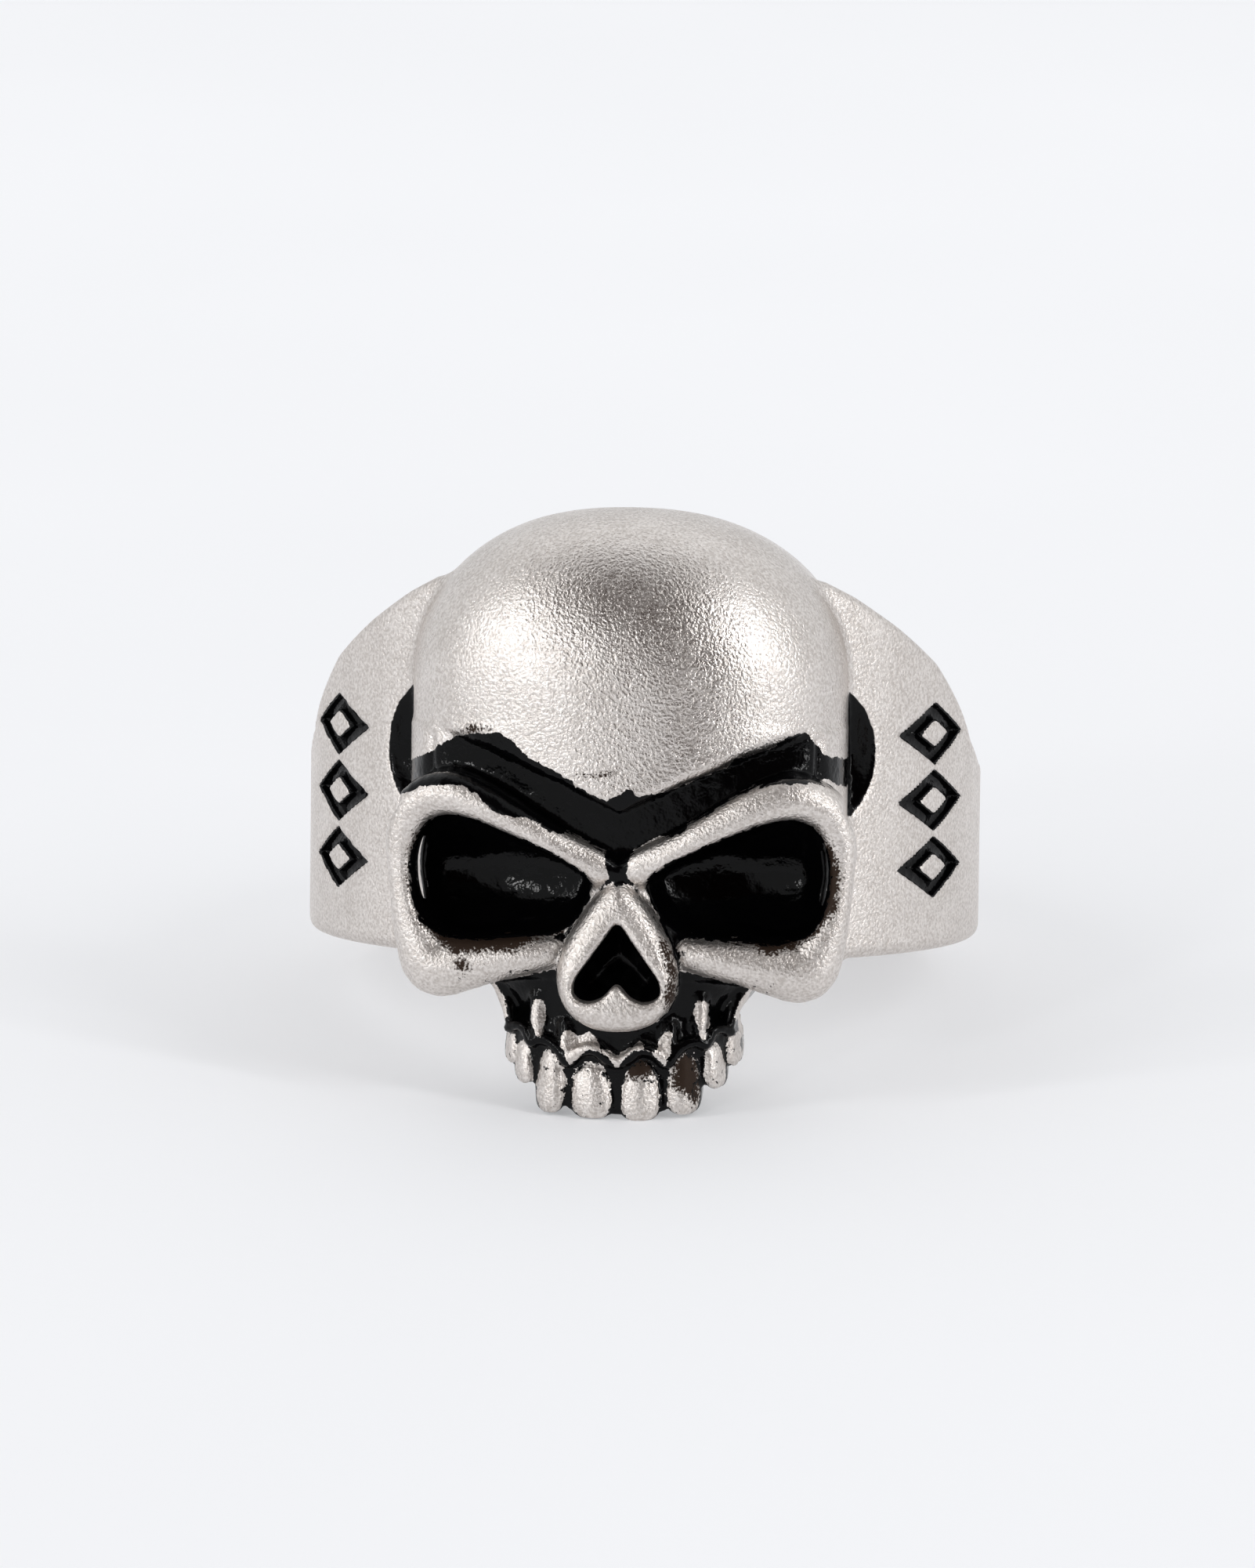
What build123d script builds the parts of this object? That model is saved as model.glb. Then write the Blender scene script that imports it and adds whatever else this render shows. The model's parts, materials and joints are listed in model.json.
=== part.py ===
from build123d import *
import itertools
import math
import os

import numpy as np

# A one-piece silver signet-style ring whose head is a skull without a lower jaw.
# The part is modelled with the finger axis along Z, the face towards -Y and the band's
# lower edge at Z = 0, and is then laid down as it rests by itself: on the tips of its front
# teeth and the back of its lower edge.

# Driving dimensions, millimetres
bore_radius = 9.9
band_wall = 2.1
shank_thinning = 0.3
band_edge_round = 0.5
skull_width = 16.0
skull_height = 20.8
jaw_drop = 5.15
face_reach = 15.6
recess_radius = 2.35
recess_depth = 1.0
engraving_depth = 0.35
tooth_thickness = 1.5
tooth_root = 0.5
gum_thickness = 1.3
rim_thickness = 1.2
bore_stock = 0.7
metal_added = 0.02
flatness = 1e-7
recess_angle = 34.5
recess_height = 0.454
engraving_angle = 61.0
engraving_height = 0.34
lozenge_count = 3
lozenge_reach = 2.1
lozenge_rise = 1.05
lozenge_pitch = 2.35
lozenge_heart = 0.5

# Places of the head's sub-parts: "up" values are shares of the skull's height from the tips of
# the teeth, "half" values shares of the half width, "front" and "back" values shares of the
# relief behind the brow, "reach" values shares of the relief
head_middle_front = 1.10
head_back = 1.47
dome_half = 0.94
dome_start_up = 0.70
dome_foot_up = 0.39
dome_reach = 1.044
cheek_half = 0.925
cheek_reach = 0.92
cheek_top_up = 0.63
cheek_foot_up = 0.236
groove_floor_front = 0.28
temple_half = 0.825
temple_floor_front = 0.53
jaw_middle_front = 1.05
jaw_reach = 0.87
jaw_top_up = 0.305
jaw_foot_up = 0.098
palate_foot_up = 0.103
palate_front = 0.53
tooth_narrowing = 0.42
narrowing_start, narrowing_end = 0.35, 0.95
nose_front = -0.06
nose_back = 0.55
nose_floor_front = 0.02
socket_floor_front = 0.23
socket_sweep_half = 0.375
skull_wall_half = 0.93

# Depths and widths of round-bottomed hollows, millimetres
nose_wall, nose_depth = 0.9, 1.9
socket_wall, socket_depth = 1.5, 2.6

# Slopes, in millimetres a millimetre, and curves, in millimetres a square millimetre
nose_slope = 0.10
palate_slope = 0.95
tooth_lean = 0.10
groove_curve = 0.027
socket_sweep = 0.03

# Power of each rounded form: 2 is an ellipse, and a larger one is fuller at its corners
dome_power = 2.2
cheek_power = 2.7
jaw_power = 2.8
tooth_power = 2.7

# Fillets where one sub-part meets another, millimetres
dome_foot_fillet = 0.6
dome_to_cheek = 0.5
groove_fillet = 0.45
rim_fillet = 0.35
jaw_fillet = 0.4
gum_fillet = 0.3
jaw_to_skull = 0.3
socket_fillet = 0.25
nose_edge_round = 0.9
nose_fillet = 0.15
nose_hollow_fillet = 0.2
tooth_fillet = 0.08
skull_to_band = 0.4

# Degrees round from the face over which the shank thins
thinning_start, thinning_end = 95, 165
curve_steps = 3
outline_steps = 4

outer_radius = bore_radius + band_wall
half_width = skull_width / 2
crown_height = skull_height - jaw_drop
relief = face_reach - bore_radius

# Top edge of the band: degrees round from the face, height as a share of the crown height
BAND_TOP = [
    (0, 0.850), (30, 0.850), (35, 0.838), (41, 0.804), (51, 0.735), (62, 0.652),
    (72, 0.545), (78, 0.470), (86, 0.415), (100, 0.392), (180, 0.383),
]

# Tables of the face, for the side where x is positive. Their columns are
#   across: share of the half width, out from the middle
#   up: share of the skull's height, from the tips of the teeth
#   front: how far the piece's front lies behind the brow, as a share of the relief
#   radius: share of the half width
EYE_RIM = [
    (0.120, 0.424, 0.045, 0.058), (0.200, 0.438, 0.015, 0.060), (0.310, 0.463, 0.000, 0.067),
    (0.437, 0.491, 0.000, 0.075), (0.587, 0.520, 0.005, 0.087), (0.737, 0.535, 0.040, 0.096),
    (0.862, 0.515, 0.110, 0.092), (0.928, 0.465, 0.165, 0.074), (0.932, 0.405, 0.185, 0.060),
    (0.908, 0.345, 0.175, 0.070), (0.856, 0.296, 0.150, 0.104), (0.786, 0.254, 0.120, 0.138),
    (0.672, 0.256, 0.100, 0.124), (0.530, 0.264, 0.085, 0.094), (0.400, 0.272, 0.075, 0.080),
    (0.300, 0.278, 0.090, 0.068),
]
EYE_SOCKET = [
    (0.125, 0.395), (0.220, 0.427), (0.337, 0.450), (0.525, 0.480), (0.690, 0.499),
    (0.815, 0.486), (0.880, 0.440), (0.885, 0.385), (0.845, 0.332), (0.760, 0.306),
    (0.640, 0.299), (0.467, 0.303), (0.270, 0.312), (0.170, 0.345),
]
NOSE = [
    (0.000, 0.400), (0.085, 0.378), (0.165, 0.335), (0.225, 0.296), (0.258, 0.250),
    (0.245, 0.210), (0.195, 0.178), (0.110, 0.158), (0.000, 0.152),
]
NOSE_HOLLOW = [
    (0.000, 0.330), (0.060, 0.303), (0.125, 0.268), (0.178, 0.238), (0.182, 0.213),
    (0.125, 0.201), (0.060, 0.209), (0.000, 0.230),
]
# Edges of the groove over the brow: across, lower edge's up, upper edge's up
BROW_GROOVE = [
    (0.000, 0.428, 0.507), (0.090, 0.447, 0.524), (0.170, 0.461, 0.538), (0.250, 0.476, 0.555),
    (0.340, 0.495, 0.572), (0.425, 0.517, 0.591), (0.500, 0.534, 0.608), (0.600, 0.555, 0.625),
    (0.690, 0.570, 0.632), (0.780, 0.575, 0.635), (0.880, 0.560, 0.620), (0.960, 0.531, 0.594),
    (1.100, 0.488, 0.555),
]
# Sides of the jaw: up, half the width as a share of the half width
JAW_SIDE = [
    (0.074, 0.468), (0.130, 0.470), (0.170, 0.500), (0.200, 0.555), (0.224, 0.610), (0.300, 0.700),
]
# Teeth: across, half the tooth's width, tip's up, neck's up, front
TEETH = [
    (0.100, 0.086, 0.000, 0.128, 0.125),
    (0.291, 0.072, 0.012, 0.132, 0.180),
    (0.412, 0.056, 0.050, 0.145, 0.320),
    (0.474, 0.045, 0.088, 0.160, 0.480),
]
# Scalloped edge of the gum over the teeth: across, up, front, radius
GUM_LINE = [
    (0.000, 0.098, 0.110, 0.024), (0.045, 0.106, 0.110, 0.024), (0.100, 0.121, 0.105, 0.024),
    (0.165, 0.115, 0.115, 0.024), (0.215, 0.100, 0.130, 0.026), (0.245, 0.115, 0.145, 0.022),
    (0.290, 0.127, 0.165, 0.022), (0.340, 0.131, 0.190, 0.022), (0.372, 0.128, 0.215, 0.024),
    (0.400, 0.146, 0.250, 0.020), (0.432, 0.153, 0.290, 0.020), (0.475, 0.146, 0.360, 0.022),
]
# Ridges that rise from the points of that edge
GUM_RIDGES = [
    [(0.215, 0.105, 0.130, 0.036), (0.222, 0.150, 0.160, 0.044), (0.225, 0.200, 0.190, 0.030)],
    [(0.372, 0.132, 0.215, 0.032), (0.380, 0.180, 0.240, 0.044), (0.392, 0.235, 0.270, 0.034)],
    [(0.478, 0.146, 0.370, 0.030), (0.500, 0.180, 0.400, 0.036), (0.545, 0.215, 0.430, 0.030)],
]
BRIDGE = [(0.000, 0.450, 0.150, 0.036), (0.000, 0.415, 0.110, 0.050), (0.000, 0.375, 0.070, 0.066)]


def curve_through(rows, steps, closed):
    """Smooth rows through the rows of a table, steps to each gap"""
    rows = np.array(rows, float)
    if closed:
        padded = np.vstack([rows[-1], rows, rows[0], rows[1]])
    else:
        padded = np.vstack([2 * rows[0] - rows[1], rows, 2 * rows[-1] - rows[-2]])
    smooth = []
    for before, start, end, after in zip(padded[:-3], padded[1:-2], padded[2:-1], padded[3:]):
        for t in np.arange(steps) / steps:
            smooth.append(0.5 * (2 * start + (end - before) * t
                                 + (2 * before - 5 * start + 4 * end - after) * t ** 2
                                 + (3 * start - before - 3 * end + after) * t ** 3))
    if not closed:
        smooth.append(rows[-1])
    return np.array(smooth)


def height(up):
    """Height above the band's lower edge of a share of the skull's height"""
    return up * skull_height - jaw_drop


def front_plane(front):
    """Y of a surface whose front lies behind the brow by a share of the relief"""
    return -face_reach + front * relief


def outline(rows):
    """Across and up columns to an outline in the X-Z plane"""
    rows = np.array(rows, float)
    return np.stack([rows[:, 0] * half_width, height(rows[:, 1])], 1)


def mirrored(points):
    """A half outline from top to bottom on the middle line, closed with its mirror image"""
    return np.vstack([points, points[-2:0:-1] * [-1, 1]])


def ridge_path(rows):
    """Across, up, front and radius columns to rows of x, y, z and radius"""
    rows = np.array(rows, float)
    radius = rows[:, 3] * half_width
    x = rows[:, 0] * half_width
    return np.stack([x, front_plane(rows[:, 2]) + radius, height(rows[:, 1]), radius], 1)


def smooth_union(a, b, blend):
    share = np.clip(0.5 + 0.5 * (b - a) / blend, 0, 1)
    return b + (a - b) * share - blend * share * (1 - share)


def smooth_meet(a, b, blend):
    return -smooth_union(-a, -b, blend)


def smooth_cut(solid, tool, blend):
    return smooth_meet(solid, -tool, blend)


def smooth_step(low, high, value):
    share = np.clip((value - low) / (high - low), 0, 1)
    return share * share * (3 - 2 * share)


def rounded_form(terms, power):
    """Distance to a rounded box: terms are pairs of distance from its middle and half its size"""
    total = np.maximum(sum((d / size) ** power for d, size in terms) ** (1 / power), 1e-6)
    slope = np.sqrt(sum(((d / size / total) ** (power - 1) / size) ** 2 for d, size in terms))
    return (total - 1) / np.maximum(slope, 1e-6)


def ridge(x, y, z, path, depth):
    """Distance to a ridge along a path: half round in front, with straight sides behind"""
    best = np.full(x.shape, np.inf)
    for start, end in zip(path[:-1], path[1:]):
        step = end - start
        run = (x - start[0]) * step[0] + (z - start[2]) * step[2]
        t = np.clip(run / (step[0] ** 2 + step[2] ** 2), 0, 1)
        proud = start[1] + t * step[1] - y
        proud = np.where(proud < 0, np.minimum(proud + depth, 0), proud)
        gap = np.sqrt((x - start[0] - t * step[0]) ** 2 + (z - start[2] - t * step[2]) ** 2 + proud ** 2)
        best = np.minimum(best, gap - start[3] - t * step[3])
    return best


def outline_distance(x, z, points):
    """Distance in the X-Z plane to a closed outline, negative inside"""
    best = np.full(x.shape, np.inf)
    sign = np.ones(x.shape)
    for start, end in zip(points, np.roll(points, -1, axis=0)):
        step = end - start
        dx = x - start[0]
        dz = z - start[1]
        t = np.clip((dx * step[0] + dz * step[1]) / (step @ step), 0, 1)
        best = np.minimum(best, (dx - t * step[0]) ** 2 + (dz - t * step[1]) ** 2)
        side = step[0] * dz - step[1] * dx
        down = (z >= start[1]) & (z < end[1]) & (side > 0)
        up = (z < start[1]) & (z >= end[1]) & (side < 0)
        sign = np.where(down | up, -sign, sign)
    return sign * np.sqrt(best)


def bowl_depth(inside, wall, depth):
    """Depth of a round-bottomed hollow at a distance inside its outline"""
    share = np.clip(inside / wall, 0, 1)
    return depth * np.sqrt(1 - (1 - share) ** 2)


def band_top(angle):
    rows = np.array(BAND_TOP)
    return np.interp(angle, rows[:, 0], rows[:, 1] * crown_height)


def band(x, y, z):
    """Shank and shoulders: a wall round the finger, low at the back and high beside the skull"""
    angle = np.degrees(np.arctan2(np.abs(x), -y))
    wall = outer_radius - shank_thinning * smooth_step(thinning_start, thinning_end, angle)
    edges = np.maximum(z - band_top(angle), -z)
    return smooth_meet(np.hypot(x, y) - wall, edges, band_edge_round)


def cranium(x, y, z):
    rise = np.maximum(z - height(dome_start_up), 0)
    reach = np.maximum(front_plane(head_middle_front) - y, 0)
    dome = rounded_form([(np.abs(x), dome_half * half_width),
                         (rise, crown_height - height(dome_start_up)),
                         (reach, dome_reach * relief)], dome_power)
    floor = height(dome_foot_up) - z
    return np.maximum(smooth_meet(dome, floor, dome_foot_fillet), y - front_plane(head_back))


def cheek_core(x, y, z):
    """The skull behind its eye rims and cheekbones"""
    reach = np.maximum(front_plane(head_middle_front) - y, 0)
    core = rounded_form([(np.abs(x), cheek_half * half_width), (reach, cheek_reach * relief)], cheek_power)
    return np.maximum(core, np.maximum(z - height(cheek_top_up), height(cheek_foot_up) - z))


def brow_groove(x, y, z):
    rows = np.array(BROW_GROOVE)
    across = np.abs(x) / half_width
    low = height(np.interp(across, rows[:, 0], rows[:, 1]))
    high = height(np.interp(across, rows[:, 0], rows[:, 2]))
    slot = np.abs(z - (low + high) / 2) - (high - low) / 2
    floor = y - front_plane(groove_floor_front) - groove_curve * x * x
    temple = np.maximum(temple_half * half_width - np.abs(x), y - front_plane(temple_floor_front))
    return np.maximum(slot, np.minimum(floor, temple))


def jaw(x, y, z):
    """Upper jaw below the cheekbones, with its sloping palate"""
    rows = np.array(JAW_SIDE)
    half = np.interp(z, height(rows[:, 0]), rows[:, 1] * half_width)
    reach = np.maximum(front_plane(jaw_middle_front) - y, 0)
    form = rounded_form([(np.abs(x), half), (reach, jaw_reach * relief)], jaw_power)
    rise = palate_slope * (y - front_plane(palate_front))
    palate = (height(palate_foot_up) - z + rise) / math.hypot(1, palate_slope)
    ends = np.maximum(height(jaw_foot_up) - z, z - height(jaw_top_up))
    return smooth_meet(form, np.maximum(palate, ends), jaw_fillet)


def gum(x, y, z):
    """Scalloped edge over the teeth and the ridges that rise between their roots"""
    across = np.abs(x)
    line = curve_through(ridge_path(GUM_LINE), curve_steps, False)
    form = ridge(across, y, z, line, gum_thickness)
    for rows in GUM_RIDGES:
        form = np.minimum(form, ridge(across, y, z, ridge_path(rows), gum_thickness))
    return form


def teeth(x, y, z):
    best = np.full(x.shape, np.inf)
    thick = tooth_thickness / 2
    for across, half, tip, neck, front in TEETH:
        bottom = height(tip)
        top = height(neck) + tooth_root
        share = np.clip((z - bottom) / (top - bottom), 0, 1)
        narrowing = tooth_narrowing * smooth_step(narrowing_start, narrowing_end, share)
        width = half * half_width * (1 - narrowing)
        lean = tooth_lean * share
        form = rounded_form([(np.abs(np.abs(x) - across * half_width), width),
                             (np.abs(z - (bottom + top) / 2), (top - bottom) / 2),
                             (np.abs(y - front_plane(front) - thick - lean), thick)], tooth_power)
        best = np.minimum(best, form)
    return best


def nose_mound(x, y, z):
    """The raised pear-shaped rim of the nose"""
    edge = outline_distance(x, z, curve_through(mirrored(outline(NOSE)), outline_steps, True))
    front = front_plane(nose_front) - y + nose_slope * z
    return smooth_meet(edge, np.maximum(front, y - front_plane(nose_back)), nose_edge_round)


def nose_hollow(x, y, z):
    edge = outline_distance(x, z, curve_through(mirrored(outline(NOSE_HOLLOW)), outline_steps, True))
    floor = front_plane(nose_floor_front) + bowl_depth(-edge, nose_wall, nose_depth)
    return np.maximum(edge, y - floor)


def sockets(x, y, z):
    edge = outline_distance(np.abs(x), z, curve_through(outline(EYE_SOCKET), outline_steps, True))
    sweep = socket_sweep * np.clip(np.abs(x) - socket_sweep_half * half_width, 0, None) ** 2
    floor = front_plane(socket_floor_front) + bowl_depth(-edge, socket_wall, socket_depth) + sweep
    return np.maximum(edge, y - floor)


def skull(x, y, z):
    form = smooth_union(cranium(x, y, z), cheek_core(x, y, z), dome_to_cheek)
    form = smooth_cut(form, brow_groove(x, y, z), groove_fillet)
    rim_line = curve_through(ridge_path(EYE_RIM), curve_steps, False)
    form = smooth_union(form, ridge(np.abs(x), y, z, rim_line, rim_thickness), rim_fillet)
    form = smooth_union(form, ridge(x, y, z, ridge_path(BRIDGE), rim_thickness), rim_fillet)
    form = smooth_union(form, smooth_union(jaw(x, y, z), gum(x, y, z), gum_fillet), jaw_to_skull)
    form = smooth_cut(form, sockets(x, y, z), socket_fillet)
    form = smooth_union(form, nose_mound(x, y, z), nose_fillet)
    form = smooth_cut(form, nose_hollow(x, y, z), nose_hollow_fillet)
    form = smooth_union(form, teeth(x, y, z), tooth_fillet)
    return np.maximum(form, y - front_plane(head_back))


def ring(x, y, z):
    """The casting before its bore, recesses and engraving are cut; negative in the metal"""
    return smooth_union(band(x, y, z), skull(x, y, z), skull_to_band)


# Grid that the casting's facets come from, in cylinder coordinates round the finger
facet = 0.52
face_turns = ((0, 35, 1.7), (35, 75, 3.6), (75, 180, 7.5))
grid_bottom = -1.1
grid_brow = 0.66
brow_row = 0.9 * grid_brow
grid_widest_front = 0.15
grid_margin = 1.5 * facet
wall_step = 1.3 * facet
dome_step = 1.7 * facet
crown_step = 1.5 * facet
crown_margin = 3 * facet
bore_clearance = facet / 8
stock_reach = facet / 200
corners = list(itertools.product((0, 1), repeat=3))
# Height of the crest over the finger hole, as a share of the crown height, by degrees
CREST = [(0, 1.00), (18, 0.972), (28, 0.915), (36, 0.840)]


def steps_between(pieces):
    """Values over consecutive pieces, each given as its start, end and largest step"""
    values = []
    for start, end, step in pieces:
        values += list(np.linspace(start, end, math.ceil((end - start) / step), endpoint=False))
    return np.array(values + [pieces[-1][1]])


def grid_nodes():
    """Angle, radius and height of every node. Rows follow the band's top edge on the
    shoulders and run level over the face. The first angle closes the round."""
    half = steps_between(face_turns)
    angles = np.concatenate([half[:-1], 360 - half[:0:-1]])
    widest = math.hypot(half_width, front_plane(grid_widest_front))
    radii = steps_between(((bore_radius - bore_stock - facet, outer_radius + facet, wall_step),
                           (outer_radius + facet, widest + grid_margin, facet)))
    low = grid_bottom * jaw_drop
    brow = height(grid_brow)
    level = steps_between(((low, 0, facet), (0, brow, facet), (brow, crown_height, dome_step),
                           (crown_height, crown_height + crown_margin, crown_step)))
    crest = np.array(CREST)
    heights = []
    for angle in angles:
        turn = min(angle, 360 - angle)
        top = band_top(turn)
        if turn <= crest[-1, 0]:
            top = np.interp(turn, crest[:, 0], crest[:, 1] * crown_height)
        middle = min(brow, brow_row * top)
        heights.append(np.interp(level, [low, 0, brow, crown_height, level[-1]],
                                 [low, 0, middle, top, top + level[-1] - crown_height]))
    nodes = np.empty((len(angles), len(radii), len(level), 3))
    nodes[..., 0] = angles[:, None, None]
    nodes[..., 1] = radii[None, :, None]
    nodes[..., 2] = np.array(heights)[:, None, :]
    return nodes


def to_xyz(places):
    turn = np.radians(places[..., 0])
    return np.stack([places[..., 1] * np.sin(turn), -places[..., 1] * np.cos(turn), places[..., 2]], -1)


def casting_field(places):
    """The casting's distance at angle, radius and height, with stock left inside the bore"""
    x, y, z = np.moveaxis(to_xyz(places), -1, 0)
    return np.maximum(ring(x, y, z), bore_radius - bore_stock - places[..., 1])


def corner_block(values, corner, shape):
    return values[tuple(slice(shift, shift + size) for shift, size in zip(corner, shape))]


def single_sheet(code):
    """Whether a cell whose metal corners are the code's bits is crossed by one sheet alone"""
    metal = [corner for bit, corner in enumerate(corners) if code >> bit & 1]
    for group in (metal, [corner for corner in corners if corner not in metal]):
        reached = group[:1]
        for corner in reached:
            reached += [other for other in group if other not in reached
                        and sum(abs(p - q) for p, q in zip(corner, other)) == 1]
        if len(reached) < len(group):
            return False
    for axis in range(3):
        for side in (0, 1):
            a, b, c, d = [corner in metal for corner in corners if corner[axis] == side]
            if a == d and b == c and a != b:
                return False
    return True


def filled_where_torn(field):
    """The field with metal added at the few nodes where two sheets would meet in one cell"""
    whole = np.array([single_sheet(code) for code in range(256)])
    shape = np.array(field.shape) - (0, 1, 1)
    while True:
        closed = np.concatenate([field, field[:1]])
        code = sum((corner_block(closed, corner, shape) < 0).astype(int) << bit
                   for bit, corner in enumerate(corners))
        torn = np.argwhere(~whole[code])
        if not len(torn):
            return closed
        for cell in torn:
            empty = [tuple(cell + corner) for corner in corners if closed[tuple(cell + corner)] >= 0]
            node = min(empty, key=lambda place: closed[place])
            field[node[0] % len(field), node[1], node[2]] = -metal_added


def net_of(nodes, field):
    """One point in each cell that the surface crosses, and four-sided facets between them"""
    closed = filled_where_torn(field)
    last = nodes[:1] + np.array([360, 0, 0])
    nodes = np.concatenate([nodes, last])
    shape = np.array(field.shape) - (0, 1, 1)
    total = np.zeros((*shape, 3))
    count = np.zeros(shape)
    for axis in range(3):
        for start in corners:
            if start[axis]:
                continue
            end = tuple(np.array(start) + np.eye(3, dtype=int)[axis])
            near, far = corner_block(closed, start, shape), corner_block(closed, end, shape)
            crossed = (near < 0) != (far < 0)
            share = np.where(crossed, near / np.where(crossed, near - far, 1), 0)[..., None]
            at = corner_block(nodes, start, shape) * (1 - share) + corner_block(nodes, end, shape) * share
            total += np.where(crossed[..., None], at, 0)
            count += crossed
    used = count > 0
    number = np.full(shape, -1)
    number[used] = np.arange(used.sum())
    facets = []
    metal = closed[:-1] < 0
    for axis in range(3):
        first, second = (axis + 1) % 3, (axis + 2) % 3
        next_metal = np.roll(metal, -1, axis)
        for leaving in (True, False):
            edges = np.argwhere(metal & ~next_metal if leaving else ~metal & next_metal)
            ring_of_cells = []
            for back_first, back_second in ((0, 0), (1, 0), (1, 1), (0, 1)):
                cells = edges.copy()
                cells[:, first] -= back_first
                cells[:, second] -= back_second
                ring_of_cells.append(number[cells[:, 0] % shape[0], cells[:, 1], cells[:, 2]])
            facets.append(np.stack(ring_of_cells if leaving else ring_of_cells[::-1], 1))
    return total[used] / count[used][:, None], np.concatenate(facets), np.argwhere(used)


def stock_points(places, cells):
    """Marks the points on the stock left in the bore, sets each column of them upright, and
    moves every point a little off the bore's own wall, so that the bore cuts cleanly"""
    marks = np.abs(places[:, 1] - (bore_radius - bore_stock)) < stock_reach
    for column in np.unique(cells[:, 0]):
        line = marks & (cells[:, 0] == column)
        places[line, :2] = np.median(places[line, :2], axis=0)
    side = np.where(places[:, 1] < bore_radius, -1, 1)
    clear = np.maximum(np.abs(places[:, 1] - bore_radius), bore_clearance)
    places[:, 1] = bore_radius + side * clear
    return marks


def joined_columns(facets, marks, cells):
    """Polygons: the facets as they are, but those of the bore's stock joined to one a column"""
    walls = marks[facets].all(1)
    needed = np.zeros(len(marks), bool)
    needed[facets[~walls]] = True
    polygons = [list(corner) for corner in facets[~walls]]
    columns = {}
    for corner in facets[walls]:
        sides = cells[corner, 0]
        first = sides.max() if sides.max() - sides.min() == 1 else 0
        columns.setdefault(first, []).append(corner)
    for stack in columns.values():
        edges = {(a, b) for corner in stack for a, b in zip(corner, np.roll(corner, -1))}
        following = {a: b for a, b in edges if (b, a) not in edges}
        start = next(point for point in following if needed[point])
        loop = [start]
        while following[loop[-1]] != start:
            loop.append(following[loop[-1]])
        polygons.append([point for point in loop if needed[point]])
    return polygons


def flat_faces(points):
    """One face if the corners lie in a plane, or else two triangles"""
    ends = [Vector(*point) for point in points]
    spread = np.linalg.svd(points - points.mean(axis=0), compute_uv=False)
    if spread[2] < flatness:
        return [Face(Wire.make_polygon(ends, close=True))]
    if np.linalg.norm(points[0] - points[2]) > np.linalg.norm(points[1] - points[3]):
        ends = ends[1:] + ends[:1]
    first, second, third, fourth = ends
    return [Face(Wire.make_polygon([first, second, third], close=True)),
            Face(Wire.make_polygon([first, third, fourth], close=True))]


def casting():
    """The ring as one closed solid of flat facets, finest over the face"""
    nodes = grid_nodes()
    places, facets, cells = net_of(nodes, casting_field(nodes))
    marks = stock_points(places, cells)
    points = to_xyz(places)
    faces = []
    for polygon in joined_columns(facets, marks, cells):
        faces += flat_faces(points[polygon])
    return Solid(Shell(faces)), points


def rest_tilt(points):
    """Angle that lays the ring on its teeth and the back of its lower edge, front raised"""
    low, high = 0.0, math.radians(45)
    front = points[points[:, 1] < 0]
    back = points[points[:, 1] > 0]
    for step in range(40):
        tilt = (low + high) / 2
        drop = [(side[:, 2] * math.cos(tilt) - side[:, 1] * math.sin(tilt)).min() for side in (front, back)]
        if drop[0] < drop[1]:
            low = tilt
        else:
            high = tilt
    return math.degrees(tilt)


def recess_tool(side):
    """Ball that dishes a shoulder beside the skull, kept off the skull's own wall"""
    ball = (recess_radius ** 2 + recess_depth ** 2) / (2 * recess_depth)
    reach = outer_radius + ball - recess_depth
    turn = math.radians(recess_angle)
    centre = (side * reach * math.sin(turn), -reach * math.cos(turn), recess_height * crown_height)
    skull_wall = skull_wall_half * half_width
    long = 4 * skull_width
    keep = Pos(side * (skull_wall + skull_width / 2), 0, 0) * Box(skull_width, long, long)
    return (Pos(*centre) * Sphere(ball)) & keep


def lozenge(plane, across, up, share):
    """Flat four-pointed figure in a plane"""
    corners = [(across + share * lozenge_reach, up), (across, up + share * lozenge_rise),
               (across - share * lozenge_reach, up), (across, up - share * lozenge_rise)]
    return plane * make_face(Polyline(*corners, close=True))


def engraving_tools(side):
    """A column of ringed lozenges sunk into a shoulder, to an even depth under its round wall"""
    turn = math.radians(engraving_angle)
    out = Vector(side * math.sin(turn), -math.cos(turn), 0)
    origin = out * outer_radius + Vector(0, 0, engraving_height * crown_height)
    plane = Plane(origin=origin, x_dir=(side * math.cos(turn), math.sin(turn), 0), z_dir=out)
    floor = Cylinder(outer_radius - engraving_depth, 2 * crown_height)
    tools = []
    for place in range(lozenge_count):
        up = (place - (lozenge_count - 1) / 2) * lozenge_pitch
        figure = lozenge(plane, 0, up, 1.0) - lozenge(plane, 0, up, lozenge_heart)
        tools.append(extrude(figure, amount=band_wall / 2, both=True) - floor)
    return tools


os.makedirs("parts", exist_ok=True)
metal, metal_points = casting()
# The bore's seam is turned to the back of the ring, where the band is lowest
tools = [Rot(0, 0, 90) * Cylinder(bore_radius, 4 * skull_height)]
for side in (-1, 1):
    tools.append(recess_tool(side))
    tools += engraving_tools(side)
metal = metal - tools
tilt = rest_tilt(metal_points)
laid = Rot(-tilt, 0, 0) * metal
box = laid.bounding_box()
laid = Pos(-(box.min.X + box.max.X) / 2, -(box.min.Y + box.max.Y) / 2, -box.min.Z) * laid
laid.label = "ring_body"
export_step(laid, "parts/ring_body.step")
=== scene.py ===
import itertools
import json
import math

import bpy
import numpy as np
from mathutils import Matrix, Vector


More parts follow.
